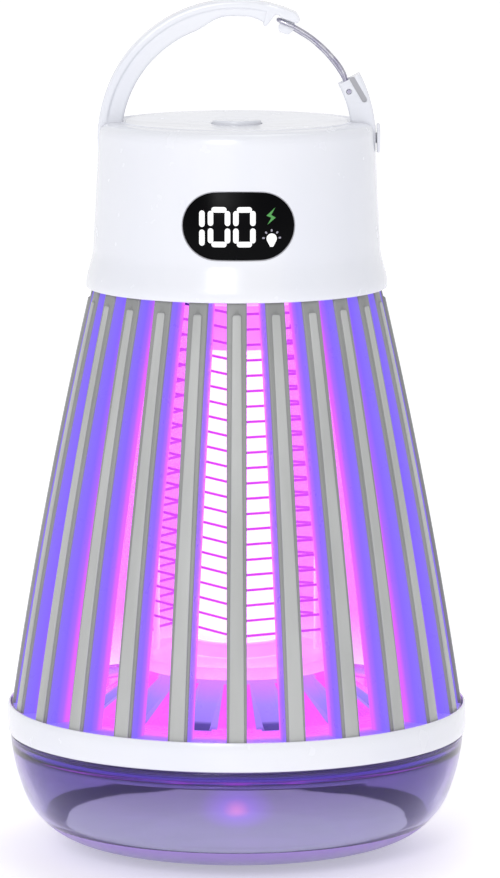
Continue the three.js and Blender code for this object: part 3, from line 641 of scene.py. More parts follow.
def lit_segment(name, color, strength):
    finish = Finish(name, (0.05, 0.05, 0.05), 0.4)
    stops = [(0.2, tuple(0.93 * c for c in color)), (0.8, color)]
    return finish.glow(finish.ramp(finish.noise(1.5), stops), strength).material


def dark_plastic():
    finish = Finish("black_moulding", (0.03, 0.03, 0.035), 0.45)
    finish.vary_roughness(2, 0.38, 0.55)
    return finish.grain(0.6, 0.01).material


def soft_seal():
    finish = Finish("silicone_seal", (0.7, 0.68, 0.8), 0.6)
    finish.vary_roughness(2, 0.55, 0.7)
    return finish.grain(0.8, 0.008).material


def board():
    finish = Finish("circuit_board", (0.05, 0.25, 0.12), 0.45)
    finish.vary_color(3, (0.03, 0.2, 0.09), (0.07, 0.3, 0.15))
    return finish.grain(1, 0.01).material


def battery_wrap():
    finish = Finish("battery_sleeve", (0.05, 0.12, 0.4), 0.35)
    finish.vary_roughness(3, 0.3, 0.45)
    return finish.grain(1.5, 0.01).material


# ---------------------------------------------------------------- head


def head_radius(z):
    """Outer radius of the head's tapered barrel."""
    share = (z - HEAD_LOW - BARREL_RISE) / BARREL_LENGTH
    return BARREL_FOOT_R + (BARREL_TOP_R - BARREL_FOOT_R) * share


def pocket_tool():
    """Room for the handle's legs between upright and folded, outside a sphere about the pivot."""
    clear = BAIL_HALF_DEPTH + 0.4
    fold = math.radians(FOLD_DEGREES)
    reach = 24
    rise = 12
    outline = [Vector((-clear, rise))]
    outline += [Vector(polar(clear, 180 + (180 - FOLD_DEGREES) * k / 16)) for k in range(17)]
    outline.append(Vector((clear * math.cos(fold) + reach * math.sin(fold),
                           reach * math.cos(fold) - clear * math.sin(fold))))
    outline.append(Vector((reach, rise)))
    wedge = make("wedge", moved(along_x(outline, -60, 60), PIVOT))
    kept_r = BAIL_INNER_R - 0.5
    sphere = make("sphere", moved(lathe(half_circle(kept_r, 64), closed=False, segments=128), PIVOT))
    carve(wedge, sphere)
    return wedge


def head_shell(material):
    top = HEAD_HIGH
    outside = [
        (HEAD_R - 1.1, HEAD_LOW, 0), (HEAD_R, HEAD_LOW, 0.5), (HEAD_R - 0.1, HEAD_LOW + 2.4, 1.2),
        (HEAD_R - 1.2, HEAD_LOW + 6.2, 2.2), (BARREL_FOOT_R, HEAD_LOW + BARREL_RISE, 1.5),
        (head_radius(top - 5.3), top - 5.3, 2), (32.75, top - 0.9, 2.1), (29.5, top - 0.2, 1.4),
        (27.9, top - 0.35, 0.4), (27.4, top, 0.35), (18, top - 0.6, 4), (0, top - 0.9, 0),
    ]
    inside = [
        (0, WELL_HIGH, 0), (WELL_R, WELL_HIGH, 0), (WELL_R, CAVITY_HIGH, 0), (CAVITY_R, CAVITY_HIGH, 0),
        (CAVITY_R, CAVITY_LOW, 0), (CHASSIS_SEAT_R, CAVITY_LOW, 0), (CHASSIS_SEAT_R, CHASSIS_SEAT_LOW, 0),
        (HEAD_R - 1.1, HEAD_INNER_LOW, 0),
    ]
    shell = make("head_shell_fine", lathe(rounded(inside + outside, closed=False)))
    window = pill(DISPLAY_WIDTH + 2 * GAP, DISPLAY_HEIGHT + 2 * GAP)
    carve(shell, make("tool", moved(along_y(window, -60, -20), (DISPLAY_X, 0, DISPLAY_Z))))
    carve(shell, make("tool", moved(along_y(pill(*CHARGING_PORT), 20, 60), (0, 0, CHARGING_PORT_Z))))
    carve(shell, make("tool", along_z(circle(BUTTON_R + 0.35, 96), 160, 190)))
    carve(shell, pocket_tool())
    soften(shell)
    smooth(shell)
    return dress(shell, material, "housing", "white_plastic", "head_shell")


def power_button(material):
    """A shallow dish of a button on a flange and stem, with two small dimples."""
    top = BUTTON_TOP
    profile = rounded([
        (0, BUTTON_STEM_LOW, 0), (BUTTON_STEM_R, BUTTON_STEM_LOW, 0.2),
        (BUTTON_STEM_R, BUTTON_FLANGE_LOW, 0.2), (BUTTON_FLANGE_R, BUTTON_FLANGE_LOW, 0.2),
        (BUTTON_FLANGE_R, BUTTON_FLANGE_HIGH, 0.2),
        (BUTTON_R, BUTTON_FLANGE_HIGH, 0.2), (BUTTON_R, top, 0.6), (BUTTON_R - 1.4, top - 0.12, 0.5),
        (0, top - 0.3, 0),
    ], closed=False)
    button = make("power_button_fine", lathe(profile, closed=False, segments=96))
    for x in (-DIMPLE_X, DIMPLE_X):
        dimple = moved(lathe(half_circle(DIMPLE_R, 12), closed=False, segments=24), (x, 0, top + 0.05))
        carve(button, make("tool", dimple))
    smooth(button)
    return dress(button, material, "button", "white_plastic", "power_button")


def on_window(points, offset):
    """Points (across, up) from the display's centre, laid on the window's curve."""
    laid = []
    for u, v in points:
        radius = head_radius(DISPLAY_Z + v) - 0.1 + offset
        x = DISPLAY_X + u
        laid.append(Vector((x, -math.sqrt(radius ** 2 - x ** 2), DISPLAY_Z + v)))
    return laid


def display_window(material, gap_shade_material):
    low_z = DISPLAY_Z - DISPLAY_HEIGHT
    high_z = DISPLAY_Z + DISPLAY_HEIGHT
    ring = [(head_radius(low_z) - 1.7, low_z), (head_radius(low_z) - 0.1, low_z),
            (head_radius(high_z) - 0.1, high_z), (head_radius(high_z) - 1.7, high_z)]
    lens = make("display_window_fine", lathe(ring, segments=384))
    outline = pill(DISPLAY_WIDTH, DISPLAY_HEIGHT)
    carve(lens, make("tool", moved(along_y(outline, -60, -20), (DISPLAY_X, 0, DISPLAY_Z))), "INTERSECT")
    soften(lens, 0.18)
    smooth(lens)
    dress(lens, material, "housing", "display_window", "display_lens")
    # A grey bead round the window, as painted shade in the gap.
    edge = pill(DISPLAY_WIDTH + 0.45, DISPLAY_HEIGHT + 0.45)
    bead = wire("display_window_rim", on_window(edge + [edge[0]], -0.2), 0.24)
    dress(bead, gap_shade_material, "housing", "display_window")


def glyph(name, points, material):
    """A thin lit shape on the window."""
    sections = [on_window(points, 0.0), on_window(points, 0.05)]
    return dress(make(name, skin(sections)), material, "housing", "display_window")


def segment(name, start, end, width, material):
    """One bar of a digit, with round ends."""
    start, end = Vector(start), Vector(end)
    along = (end - start).normalized()
    turn = math.degrees(math.atan2(along.y, along.x))
    radius = width / 2
    points = [end - along * radius + Vector(polar(radius, turn - 90 + 180 * k / 8)) for k in range(9)]
    points += [start + along * radius + Vector(polar(radius, turn + 90 + 180 * k / 8)) for k in range(9)]
    return glyph(name, points, material)


def digits(material):
    """A narrow 1 and two zeros, as bars round their middle, top and bottom lines."""
    middle = -0.15
    top = 3.85
    bottom = -4.2
    thick = 1.3
    bars = [((-8.5, -0.2), (-8.5, 3.65)), ((-8.5, -4.55), (-8.5, -0.8))]
    for left in (-6.5, -0.6):
        right = left + 3.95
        for x in (left, right):
            bars.append(((x, middle + 0.25), (x, top - 0.25)))
            bars.append(((x, bottom + 0.25), (x, middle - 0.3)))
        bars.append(((left + 0.2, top), (right - 0.2, top)))
        bars.append(((left + 0.2, bottom), (right - 0.2, bottom)))
    for i, (start, end) in enumerate(bars):
        segment(f"digit_bar_{i + 1}", start, end, thick, material)


def icons(green, white, pale):
    bolt = [(8.55, 4.3), (6.5, 2.45), (7.65, 1.95), (6.75, 0.35), (8.65, 1.95), (7.6, 2.6)]
    glyph("charge_icon", bolt, green)
    centre = Vector((7.72, -2.9))
    bulb = [centre + Vector(polar(1.2, -35 + 250 * k / 16)) for k in range(17)]
    bulb += [centre + Vector((-0.35, -1.9)), centre + Vector((0.35, -1.9))]
    glyph("lamp_icon", bulb, white)
    for i in range(5):
        turn = 5 + 42.5 * i
        start = centre + Vector(polar(1.6, turn))
        end = centre + Vector(polar(2.2, turn))
        segment(f"lamp_icon_ray_{i + 1}", start, end, 0.42, pale)


# ---------------------------------------------------------------- handle


def radial_section(degrees, corners):
    """Points of a cross-section (radius, across) at a turn round the loop."""
    cosine, sine = polar(1, degrees)
    return [Vector((r * cosine, y, r * sine)) for r, y in rounded(corners, steps=3)]


def bail_section(degrees, inner, half_web):
    """Cross-section of the handle: a full-width outer flange, and a web set back by the channels."""
    flange = BAIL_FLANGE_R
    half = BAIL_HALF_DEPTH
    corners = [
        (BAIL_R, -half, 0.9), (BAIL_R, half, 0.9), (flange, half, 0.35), (flange - 0.35, half_web, 0.25),
        (inner, half_web, 0.7), (inner, -half_web, 0.7), (flange - 0.35, -half_web, 0.25),
        (flange, -half, 0.35),
    ]
    return radial_section(degrees, corners)


def bail_inner(degrees):
    """The inner radius thins to the saddle at the top of the loop."""
    from_saddle = abs(degrees - 90)
    share = clamp((22 - from_saddle) / 17)
    ease = share * share * (3 - 2 * share)
    return BAIL_INNER_R + (BAIL_SADDLE_R - BAIL_INNER_R) * ease


def leg_end(side):
    """The round end of a leg, about the pivot."""
    outline = circle(BAIL_HALF_DEPTH, 48)
    inner = BAIL_INNER_R + 0.05
    outer = BAIL_R - 0.05
    sections = []
    for x, share in ((inner, 0.9), (inner + 0.4, 1), (outer - 0.4, 1), (outer, 0.9)):
        sections.append([Vector((side * x, a * share, b * share)) for a, b in outline])
    return skin(sections)


def channel_depth(degrees):
    """Depth of the channels in the arm's sides, which run out near the foot and the nose."""
    return 0.5 * clamp((degrees - 76) / 2) * clamp((173 - degrees) / 3)


def handle_arm(material):
    sections = []
    steps = 72
    for k in range(steps + 1):
        degrees = ARM_FROM - (ARM_FROM - ARM_TO) * k / steps
        half_web = BAIL_HALF_DEPTH - channel_depth(degrees)
        sections.append(bail_section(degrees, bail_inner(degrees), half_web))
    nose = [
        (*polar(BAIL_R - 0.02, 77), 0), (*polar(BAIL_R, 70), 0), (*polar(BAIL_R, 64.5), 0.5),
        (*polar(32, 62), 0.4), (*polar(30.9, 62.2), 0.4), (10.6, 28.65, 0.2), (9.98, 29.4, 0.4),
        (9.1, 29.5, 0.6),
        (*polar(27.6, 75.4), 0.5), (*polar(27.5, 77), 0),
    ]
    tooth = [
        (10.9, 29.4, 0), (10.6, 28.2, 0.3), (9.8, 26.2, 0.5), (10.1, 25.2, 0.4), (12.2, 24.5, 0.6),
        (13.6, 25.7, 0.4), (13.9, 29.0, 0),
    ]
    half = BAIL_HALF_DEPTH
    block = make("nose", moved(along_y(rounded(nose), -half, half), PIVOT))
    soften(block, 0.45, 3, 50)
    hook = make("tooth", moved(along_y(rounded(tooth), -0.85, 0.85), PIVOT))
    soften(hook, 0.25, 2, 50)
    arm = make("handle_arm_fine", moved(skin(sections), PIVOT))
    for other in (make("foot", moved(leg_end(-1), PIVOT)), block, hook):
        carve(arm, other, "UNION")
    smooth(arm)
    return dress(arm, material, "handle", "white_plastic", "handle_arm")


def absorb(piece, *others):
    """Adds the other objects' meshes to a piece, and removes them."""
    work = bmesh.new()
    work.from_mesh(piece.data)
    for other in others:
        work.from_mesh(other.data)
        bpy.data.objects.remove(other)
    work.to_mesh(piece.data)
    work.free()


def groove_outline():
    """The slanted groove in the stub's front face."""
    turn = math.radians(-59.6)
    outline = []
    for a, b in pill(6.9, 1.3, 10):
        x = a * math.cos(turn) - b * math.sin(turn)
        z = a * math.sin(turn) + b * math.cos(turn)
        outline.append((x + 28.8, z + 11.8))
    return outline


# A grey plate deep in the groove, as painted shade in it.
def groove_floor(groove, material):
    floor = [Vector((x, z)) for x, z in groove]
    middle = sum(floor, Vector((0, 0))) / len(floor)
    floor = [middle + (point - middle) * 0.97 for point in floor]
    plate = along_y(floor, -BAIL_HALF_DEPTH + 0.3, -BAIL_HALF_DEPTH + 0.58)
    return dress(make("stub_groove_floor", moved(plate, PIVOT)), material, "handle", "white_plastic")


def handle_stub(material, groove_shade_material):
    half = BAIL_HALF_DEPTH
    corners = [
        (BAIL_R, -half, 0.9), (BAIL_R, half, 0.9), (BAIL_INNER_R, half, 0.6), (BAIL_INNER_R, -half, 0.6),
    ]
    sections = [radial_section(STUB_END * k / 24, corners) for k in range(25)]
    stub = make("handle_stub_fine", moved(skin(sections), PIVOT))
    slot = [polar(30.6, 20.2 + 14 * k / 6) for k in range(7)]
    slot += [polar(22, 34.2 - 14 * k / 6) for k in range(7)]
    carve(stub, make("tool", moved(along_y(slot, -2.4, 2.4), PIVOT)))
    groove = groove_outline()
    carve(stub, make("tool", moved(along_y(groove, -10, -BAIL_HALF_DEPTH + 0.6), PIVOT)))
    pin_hole = along_y(circle(0.7, 24), -10, -BAIL_HALF_DEPTH + 0.7)
    carve(stub, make("tool", moved(pin_hole, PIVOT + GATE_PIVOT)))
    soften(stub, 0.3, 3, 45)
    carve(stub, make("foot", moved(leg_end(1), PIVOT)), "UNION")
    smooth(stub)
    dress(stub, material, "handle", "white_plastic", "handle_stub")
    groove_floor(groove, groove_shade_material)


def pivot_pin(node, side, cap_r, cap_from, cap_to, material):
    """A pin that points outwards on one side, with its cap at the outer end."""
    profile = rounded([
        (0, PIN_FROM, 0), (PIN_R, PIN_FROM, 0.2), (PIN_R, cap_from, 0.1), (cap_r, cap_from, 0.1),
        (cap_r, cap_to, 0.5), (0, cap_to, 0),
    ], closed=False)
    points, faces = lathe(profile, closed=False, segments=64)
    points = [Vector((side * p.z, p.x, p.y)) + PIVOT for p in points]
    pin = make(f"{node}_fine", (points, faces))
    smooth(pin)
    return dress(pin, material, "housing", "white_plastic", node)


def wire_gate(material):
    """One closed loop of spring wire: two strands side by side, joined across the nose's tooth."""
    pivot = Vector((GATE_PIVOT.x, GATE_PIVOT.z))
    tip = Vector((10.0, 28.0))

    def strand(side, radius):
        marks = [(29.1, 25.5, 1)]
        marks += [(radius, degrees, 1) for degrees in (33, 43, 53, 62)]
        marks += [(29.7, 67.5, 0.97)]
        places = []
        for r, degrees, spread in marks:
            x, z = polar(r, degrees)
            places.append(Vector((x, side * spread * GATE_HALF_SPREAD, z)))
        return places

    def crossing(y, place):
        return Vector((place.x, y, place.y))

    knots = [crossing(y, pivot) for y in (-3.3, -2.6, -1.9)]
    knots += strand(-1, 29.85)
    knots += [crossing(y, tip) for y in (-1.2, 0, 1.2)]
    knots += reversed(strand(1, 29.15))
    knots += [crossing(y, pivot) for y in (1.9, 2.6, 3.3)]
    gate = wire("wire_gate_fine", [point + PIVOT for point in through(knots, 8)], GATE_WIRE_R)
    return dress(gate, material, "gate", "steel", "wire_gate")


def through(knots, steps):
    """Points of a smooth curve through the knots."""
    points = []
    for i in range(len(knots) - 1):
        before = knots[max(i - 1, 0)]
        start, end = knots[i], knots[i + 1]
        after = knots[min(i + 2, len(knots) - 1)]
        reach = (end - start).length
        leave = (end - before).normalized() * reach
        arrive = (after - start).normalized() * reach
        for k in range(steps):
            s = k / steps
            points.append(start * (2 * s ** 3 - 3 * s ** 2 + 1) + leave * (s ** 3 - 2 * s ** 2 + s)
                          + end * (3 * s ** 2 - 2 * s ** 3) + arrive * (s ** 3 - s ** 2))
    points.append(knots[-1])
    return points


# ---------------------------------------------------------------- lamp and grid


def lathe_part(node, profile, material, slot, body="housing", closed=False, segments=ROUND):
    """A turned part in the place of its CAD node."""
    part = make(f"{node}_fine", lathe(profile, closed=closed, segments=segments))
    smooth(part)
    return dress(part, material, body, slot, node)


def lamp_tube(material):
    inner_r = LAMP_R - 1.2
    profile = rounded([
        (inner_r, LAMP_LOW, 0.2), (LAMP_R, LAMP_LOW, 0.3),
        (LAMP_R, LAMP_HIGH, 0.3), (inner_r, LAMP_HIGH, 0.2),
    ])
    return lathe_part("lamp_tube", profile, material, "lamp_diffuser", closed=True, segments=96)


def lamp_top_cap(material):
    top = high("lamp_top_cap").z
    skirt = low("lamp_top_cap").z
    socket_r = LAMP_R + GAP
    rim_r = 12.6
    profile = rounded([
        (0, top, 0), (0, LAMP_HIGH + GAP, 0), (socket_r, LAMP_HIGH + GAP, 0), (socket_r, skirt, 0.2),
        (LAMP_R + 1.6, skirt, 0.4), (rim_r, skirt + 3, 1), (rim_r, top, 0),
    ], closed=False)
    return lathe_part("lamp_top_cap", profile + [profile[0]], material, "white_plastic", segments=96)


def lamp_bottom_cap(material):
    base = low("lamp_bottom_cap").z
    rim = high("lamp_bottom_cap").z
    socket_r = LAMP_R + GAP
    outer_r = 12.2
    profile = rounded([
        (0, base, 0), (outer_r, base, 0.2), (outer_r, rim - 0.6, 0.3), (11.6, rim, 0.4), (socket_r, rim, 0.2),
        (socket_r, LAMP_LOW - GAP, 0), (0, LAMP_LOW - GAP, 0),
    ], closed=False)
    return lathe_part("lamp_bottom_cap", profile, material, "white_plastic", segments=96)


def coil_points(start_degrees):
    """A square coil with rounded corners, wound from the top down."""
    turns = (GRID_TOP - GRID_LOW) / GRID_PITCH
    bend = 1.1
    centre = GRID_CORNER - bend
    points = []
    for quarter in range(int(turns * 4) + 1):
        for k in range(7):
            swing = -45 + 90 * k / 6
            degrees = 90 * quarter + swing
            x, y = polar(centre, 90 * quarter)
            dx, dy = polar(bend, degrees)
            turned_share = (quarter + swing / 90 * 0.08) / 4
            z = min(GRID_TOP - GRID_PITCH * turned_share, GRID_TOP)
            points.append(Vector((x + dx, y + dy, z)))
    return turned((points, []), start_degrees)[0]


def grid(wire_material, post_material, collar_material, plate_material):
    for name, start in (("live", 0), ("return", 180)):
        strand = wire(f"grid_wire_{name}_fine", coil_points(start), WIRE_R, 3)
        dress(strand, wire_material, "housing", "steel", f"grid_wire_{name}")
    base = low("grid_post_right").z
    top = high("grid_post_right").z
    for i, side in enumerate(("right", "back", "left", "front")):
        x, y = polar(POST_CENTRE, 90 * i)
        rod = rounded([(0, base, 0), (0.8, base, 0.2), (0.8, top, 0.2), (0, top, 0)], closed=False)
        post = make(f"grid_post_{side}_fine", moved(lathe(rod, closed=False, segments=32), (x, y, 0)))
        smooth(post)
        dress(post, post_material, "housing", "white_plastic", f"grid_post_{side}")
    disc(plate_material, "grid_top_plate", "white_plastic")
    disc(collar_material, "grid_collar", "funnel_plastic")


def disc(material, node, slot):
    """A round plate with soft edges, in the place of a CAD disc."""
    bottom = low(node).z
    top = high(node).z
    radius = high(node).x
    profile = rounded([(0, bottom, 0), (radius, bottom, 0.3), (radius, top, 0.5), (0, top, 0)], closed=False)
    return lathe_part(node, profile, material, slot)


# ---------------------------------------------------------------- cage, funnel and ring


def slat_radius(share):
    """Outer radius of the slats at a share of the way up, a shallow curve from foot to top."""
    middle = (CAGE_FOOT_R + CAGE_TOP_R) / 2 + CAGE_BULGE
    return CAGE_FOOT_R * (1 - share) ** 2 + middle * 2 * share * (1 - share) + CAGE_TOP_R * share ** 2


def rib_half_width(share):
    """Half the rib's width: it narrows upwards and ends in a half circle below the head."""
    widest = 1.75
    narrowest = 0.95
    end = 0.978
    if share >= end:
        return 0.0
    half = widest + (narrowest - widest) * share
    left = (end - share) * (CAGE_TOP - CAGE_LOW) / half
    return half if left >= 1 else half * math.sqrt(1 - (1 - left) ** 2)


def slat_section(share):
    """Points (across, depth) of a slat: square sides, a raised rib in front, and its height."""
    half = SLAT_THICK / 2
    rib = rib_half_width(share)
    rise = 0 if rib > 0 else -RIB_RISE
    rib = max(rib, 0.3)
    corners = [
        (-half, -SLAT_DEPTH, 0.5), (half, -SLAT_DEPTH, 0.5), (half, -RIB_RISE, 0.45),
        (rib + 0.12, -RIB_RISE, 0.1), (rib, rise, 0.22), (-rib, rise, 0.22), (-rib - 0.12, -RIB_RISE, 0.1),
        (-half, -RIB_RISE, 0.45),
    ]
    return rounded(corners, steps=3)


def slat():
    """The slat whose middle lies on +Y."""
    rib_end = 0.95
    shares = [k / 26 * rib_end for k in range(26)]
    shares += [rib_end + 0.0035 * k for k in range(9)]
    shares += [0.99, 1.0, 1.012]
    sections = []
    for share in shares:
        z = SLAT_LOW + (CAGE_TOP - SLAT_LOW) * share
        radius = slat_radius(min(share, 1))
        sections.append([Vector((across, radius + depth, z)) for across, depth in slat_section(share)])
    return skin(sections)


def glow_shell(material):
    """A glow shell round the grid, in the air between it and the slats, which carries the painted lamp glow.
    """
    top = low("grid_top_plate").z - GAP
    wall = [
        (GLOW_SHELL_TOP_R, top, 0), (GLOW_SHELL_FOOT_R, GLOW_SHELL_LOW, 0),
        (GLOW_SHELL_FOOT_R - 0.3, GLOW_SHELL_LOW, 0), (GLOW_SHELL_TOP_R - 0.3, top, 0),
    ]
    shell = make("painted_lamp_glow_shell", lathe(rounded(wall), segments=96))
    smooth(shell)
    return dress(shell, material, "housing", "lamp_diffuser")


def cage_band(name, inner_r, outer_r, bottom, top, top_reach):
    """A flat ring that joins the slats."""
    corners = [
        (inner_r, bottom, 0.2), (outer_r, bottom, 0.2), (outer_r, top, top_reach), (inner_r, top, top_reach),
    ]
    return make(name, lathe(rounded(corners)))


def cage(rib_material, strip_painted_shade_material, side_painted_glow_material):
    shape = slat()
    slats = make("cage_fine", together([turned(shape, 360 * i / SLATS) for i in range(SLATS)]))
    absorb(slats, cage_band("ring", 44.5, CAGE_FOOT_R - 0.1, CAGE_LOW, CAGE_LOW + 1.5, 0.3),
           cage_band("crown", 26.8, 34.5, CAGE_TOP + 0.8, HEAD_INNER_LOW, 0.2))
    mark_depth(slats.data)
    smooth(slats, 50)
    return dress(slats, [rib_material, strip_painted_shade_material, side_painted_glow_material], "housing", "grey_plastic", "cage")


def mark_depth(mesh):
    """Stores how deep each point lies behind the ribs' fronts, and tells ribs, strips and lit sides apart."""
    depth = mesh.attributes.new("depth", "FLOAT", "POINT")
    values = []
    for vertex in mesh.vertices:
        place = vertex.co / MM
        share = clamp((place.z - SLAT_LOW) / (CAGE_TOP - SLAT_LOW))
        radius = math.hypot(place.x, place.y)
        values.append(clamp((slat_radius(share) - radius) / SLAT_DEPTH))
    depth.data.foreach_set("value", values)
    for polygon in mesh.polygons:
        polygon.material_index = slat_zone(max(values[i] for i in polygon.vertices))


def slat_zone(deepest):
    """0 on the ribs, 1 on the strips beside them, which get a darker grey as painted shade, and 2 on the lit
    sides, which get a painted lamp glow.
    """
    if deepest < RIB_SHARE:
        return 0
    if deepest < STRIP_SHARE:
        return 1
    return 2


def base_ring(material):
    bore_r = 52.2
    seat_r = 54.5
    profile = rounded([
        (bore_r, RING_LOW, 0.2), (RING_R - 0.3, RING_LOW, 0.5), (RING_R, RING_LOW + 1.6, 1.2),
        (RING_R, RING_HIGH - 1.6, 1.2), (RING_R - 0.35, RING_HIGH, 0.35), (seat_r, RING_HIGH, 0.1),
        (seat_r, FLANGE_HIGH, 0.2), (bore_r, FLANGE_HIGH, 0.2),
    ])
    return lathe_part("base_ring", profile, material, "white_plastic", closed=True, segments=256)


def funnel():
    """The cone with its flange, before the chutes."""
    profile = rounded([
        (0, 42.1, 0), (22.4, 42.1, 0), (34.7, FLANGE_LOW, 0), (48.0, FLANGE_LOW, 0.2),
        (48.0, FLANGE_HIGH, 0.2), (44.1, FLANGE_HIGH, 0), (44.1, FUNNEL_BASE, 0.2),
        (35.5, FUNNEL_BASE, 1.2), (23.0, FLOOR_TOP - 0.5, 0.5), (22.5, FLOOR_TOP, 0.3), (0, FLOOR_TOP, 0),
    ], closed=False)
    return make("trap_floor_fine", lathe(profile, closed=False))


def chute_turn(i):
    step = 360 / CHUTES
    return step / 2 + step * i


def trap_floor(cone_material, chute_material):
    floor = funnel()
    half = CHUTE_HALF
    for i in range(CHUTES):
        trough_r = CHUTE_OUTER_R + 1.0
        trough = along_x([(20, 43.9), (20, 40.4), (30, FLANGE_LOW), (trough_r, FLANGE_LOW),
                          (trough_r, FLANGE_LOW + 1.0), (30.2, 37.6)],
                         -half - CHUTE_WALL, half + CHUTE_WALL)
        carve(floor, make("tool", turned(trough, chute_turn(i))), "UNION")
    for i in range(CHUTES):
        inner_r = 22.6
        ramp_end = 35.2
        roof = 48
        channel = along_x([(inner_r, 43.2), (HOLE_INNER_R, ramp_end), (CHUTE_OUTER_R, ramp_end),
                           (CHUTE_OUTER_R, roof), (inner_r, roof)], -half, half)
        carve(floor, make("tool", turned(channel, chute_turn(i))))
        hole = along_x([(HOLE_INNER_R, 20), (CHUTE_OUTER_R, 20), (CHUTE_OUTER_R, roof), (HOLE_INNER_R, roof)],
                       -half, half)
        carve(floor, make("tool", turned(hole, chute_turn(i))))
    for polygon in floor.data.polygons:
        polygon.material_index = 1 if in_chute(polygon.center / MM) else 0
    soften(floor, 0.2, 2, 30)
    smooth(floor, 30)
    return dress(floor, [cone_material, chute_material], "housing", "funnel_plastic", "trap_floor")


def in_chute(place):
    """Whether a point lies in or below a chute."""
    turn = math.degrees(math.atan2(place.y, place.x)) - 90
    step = 360 / CHUTES
    nearest = chute_turn(round((turn - chute_turn(0)) / step))
    radius = math.hypot(place.x, place.y)
    across = abs(radius * math.sin(math.radians(turn - nearest)))
    return 21.5 < radius < 38 and across < CHUTE_HALF + 1.25


# ---------------------------------------------------------------- catch tray


def tray(wall_material, base_material, foot_material):
    outside = [
        (0, 0.0, 0), (25.4, 0.0, 1.2), (43, 3.9, 4), (50.0, 9.8, 4.5), (53.2, 18.6, 4.5), (54.4, 25.0, 2),
        (54.6, TRAY_TOP, 0.3), (53.4, TRAY_TOP, 0.3), (53.4, 26.9, 0.2), (NECK_OUTER_R, 26.9, 0.2),
        (NECK_OUTER_R, NECK_TOP, 0.3), (NECK_INNER_R, NECK_TOP, 0.3), (NECK_INNER_R, 27.0, 0.8),
        (51.9, 25.0, 1.2), (50.8, 18.6, 4), (47.2, 9.2, 4.5), (40.5, 5.6, 4), (25.5, 2.4, 1.5), (0, 2.4, 0),
    ]
    bowl = make("tray_fine", lathe(rounded(outside, closed=False, steps=8), closed=False, segments=256))
    for polygon in bowl.data.polygons:
        place = polygon.center / MM
        radius = math.hypot(place.x, place.y)
        if radius < TRAY_FLOOR_R and polygon.normal.z > 0:
            polygon.material_index = 1
        elif radius < UNDERSIDE_R and polygon.normal.z < 0:
            polygon.material_index = 2
    smooth(bowl, 60)
    return dress(bowl, [wall_material, base_material, foot_material], "tray", "tray_plastic", "tray")


def tray_gasket(material):
    bottom = 27.2
    top = 28.15
    profile = rounded([(51.0, bottom, 0.3), (53.0, bottom, 0.3), (53.0, top, 0.3), (51.0, top, 0.3)])
    return lathe_part("tray_gasket", profile, material, "silicone", body="tray_carrier", closed=True)


# ---------------------------------------------------------------- carried-over nodes


def paint(material, *nodes):
    """Gives CAD nodes that stay in sight their material."""
    for node in nodes:
        for slot in frame["nodes"][node].material_slots:
            slot.material = material


# ---------------------------------------------------------------- stage


def stage():
    floor = make("floor", along_z(circle(FLOOR_R, 96), -FLOOR_DEPTH, 0))
    finish = Finish("studio_floor", (0.93, 0.93, 0.94), 0.6)
    finish.vary_roughness(200, 0.55, 0.65)
    finish.set("Emission Color", (1, 1, 1, 1))
    finish.set("Emission Strength", FLOOR_GLOW)
    floor.data.materials.append(finish.material)
    studio_walls()
    softbox("key_light", (-0.3, -1.4, 0.7), 0.5, 7)
    softbox("top_light", (0.2, 0.3, 1.6), 0.8, 3)
    bpy.context.scene.view_settings.view_transform = "Standard"


def studio_walls():
    """A white room whose wall behind the object is brighter than the one in front of it."""
    world = bpy.data.worlds.new("studio")
    world.use_nodes = True
    nodes = world.node_tree.nodes
    links = world.node_tree.links
    split = nodes.new("ShaderNodeSeparateXYZ")
    links.new(nodes.new("ShaderNodeTexCoord").outputs["Generated"], split.inputs["Vector"])
    level = nodes.new("ShaderNodeMapRange")
    level.inputs["From Min"].default_value = WALL_TURN[0]
    level.inputs["From Max"].default_value = WALL_TURN[1]
    level.inputs["To Min"].default_value = WALL_LEVEL[0]
    level.inputs["To Max"].default_value = WALL_LEVEL[1]
    links.new(split.outputs["Y"], level.inputs["Value"])
    background = nodes["Background"]
    background.inputs["Color"].default_value = (0.99, 0.99, 1.0, 1)
    links.new(level.outputs["Result"], background.inputs["Strength"])
    bpy.context.scene.world = world


def softbox(name, place, size, power):
    light = bpy.data.lights.new(name, "AREA")
    light.size = size
    light.energy = power
    lamp_object = bpy.data.objects.new(name, light)
    lamp_object.location = place
    lamp_object.rotation_euler = (Vector(LIGHT_TARGET) - Vector(place)).to_track_quat("-Z", "Y").to_euler()
    bpy.context.collection.objects.link(lamp_object)


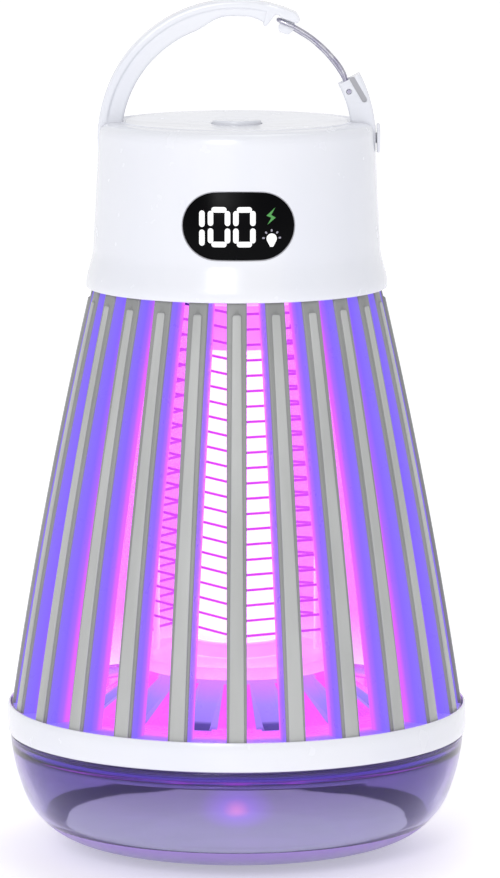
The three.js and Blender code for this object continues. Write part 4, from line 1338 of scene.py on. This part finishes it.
def camera():
    data = bpy.data.cameras.new("camera")
    data.sensor_fit = "VERTICAL"
    data.sensor_height = SENSOR_HEIGHT
    data.lens = LENS
    data.shift_x = SHIFT_X
    data.clip_end = CLIP_END
    eye = bpy.data.objects.new("camera", data)
    eye.location = EYE
    eye.rotation_euler = (math.radians(90 - PITCH), 0, 0)
    bpy.context.collection.objects.link(eye)
    bpy.context.scene.camera = eye


# ---------------------------------------------------------------- assembly


def build():
    camera()
    stage()
    white = white_plastic()
    dark = dark_plastic()
    painted_glow_white = painted_glow_white_plastic()
    head_shell(white)
    power_button(white)
    display_window(black_window(), gap_painted_shade())
    lit = lit_segment("lit_white_segment", (1.0, 1.0, 1.0), 1.1)
    digits(lit)
    icons(lit_segment("lit_green_segment", (0.03, 0.32, 0.03), 1.0), lit,
          lit_segment("pale_segment", (0.35, 0.33, 0.42), 1.0))
    handle_arm(white)
    handle_stub(white, gap_painted_shade())
    pivot_pin("handle_pin_left", -1, LEFT_CAP_R, LEFT_CAP_FROM, LEFT_CAP_TO, white)
    pivot_pin("handle_pin_right", 1, RIGHT_CAP_R, BAIL_R + GAP, RIGHT_CAP_TO, white)
    wire_gate(gate_steel())
    lamp_tube(lamp_glow())
    lamp_top_cap(painted_glow_white)
    lamp_bottom_cap(painted_glow_white)
    grid(grid_steel_painted_glow(), painted_glow_white, painted_glow_white, white)
    glow_shell(painted_lamp_glow_shell())
    # The strips get a darker copy of the ribs' grey as painted shade, and the sides a painted lamp glow.
    cage(grey_plastic("grey_rib_plastic", 0.45), grey_plastic("grey_slat_plastic_painted_shade", 0.28), side_plastic_painted_glow())
    base_ring(white)
    trap_floor(funnel_plastic(), chute_plastic())
    tray(clear_tray(), tray_base(), tray_foot())
    tray_gasket(soft_seal())
    steel = gate_steel()
    paint(white, "head_chassis")
    paint(dark, "switch_body", "switch_plunger", "display_module", "hv_transformer", "hv_capacitor")
    paint(board(), "control_board", "lamp_led_board")
    paint(battery_wrap(), "battery_pack")
    paint(steel, "usb_socket", *[n for n in frame["nodes"] if "_screw_" in n])


build()
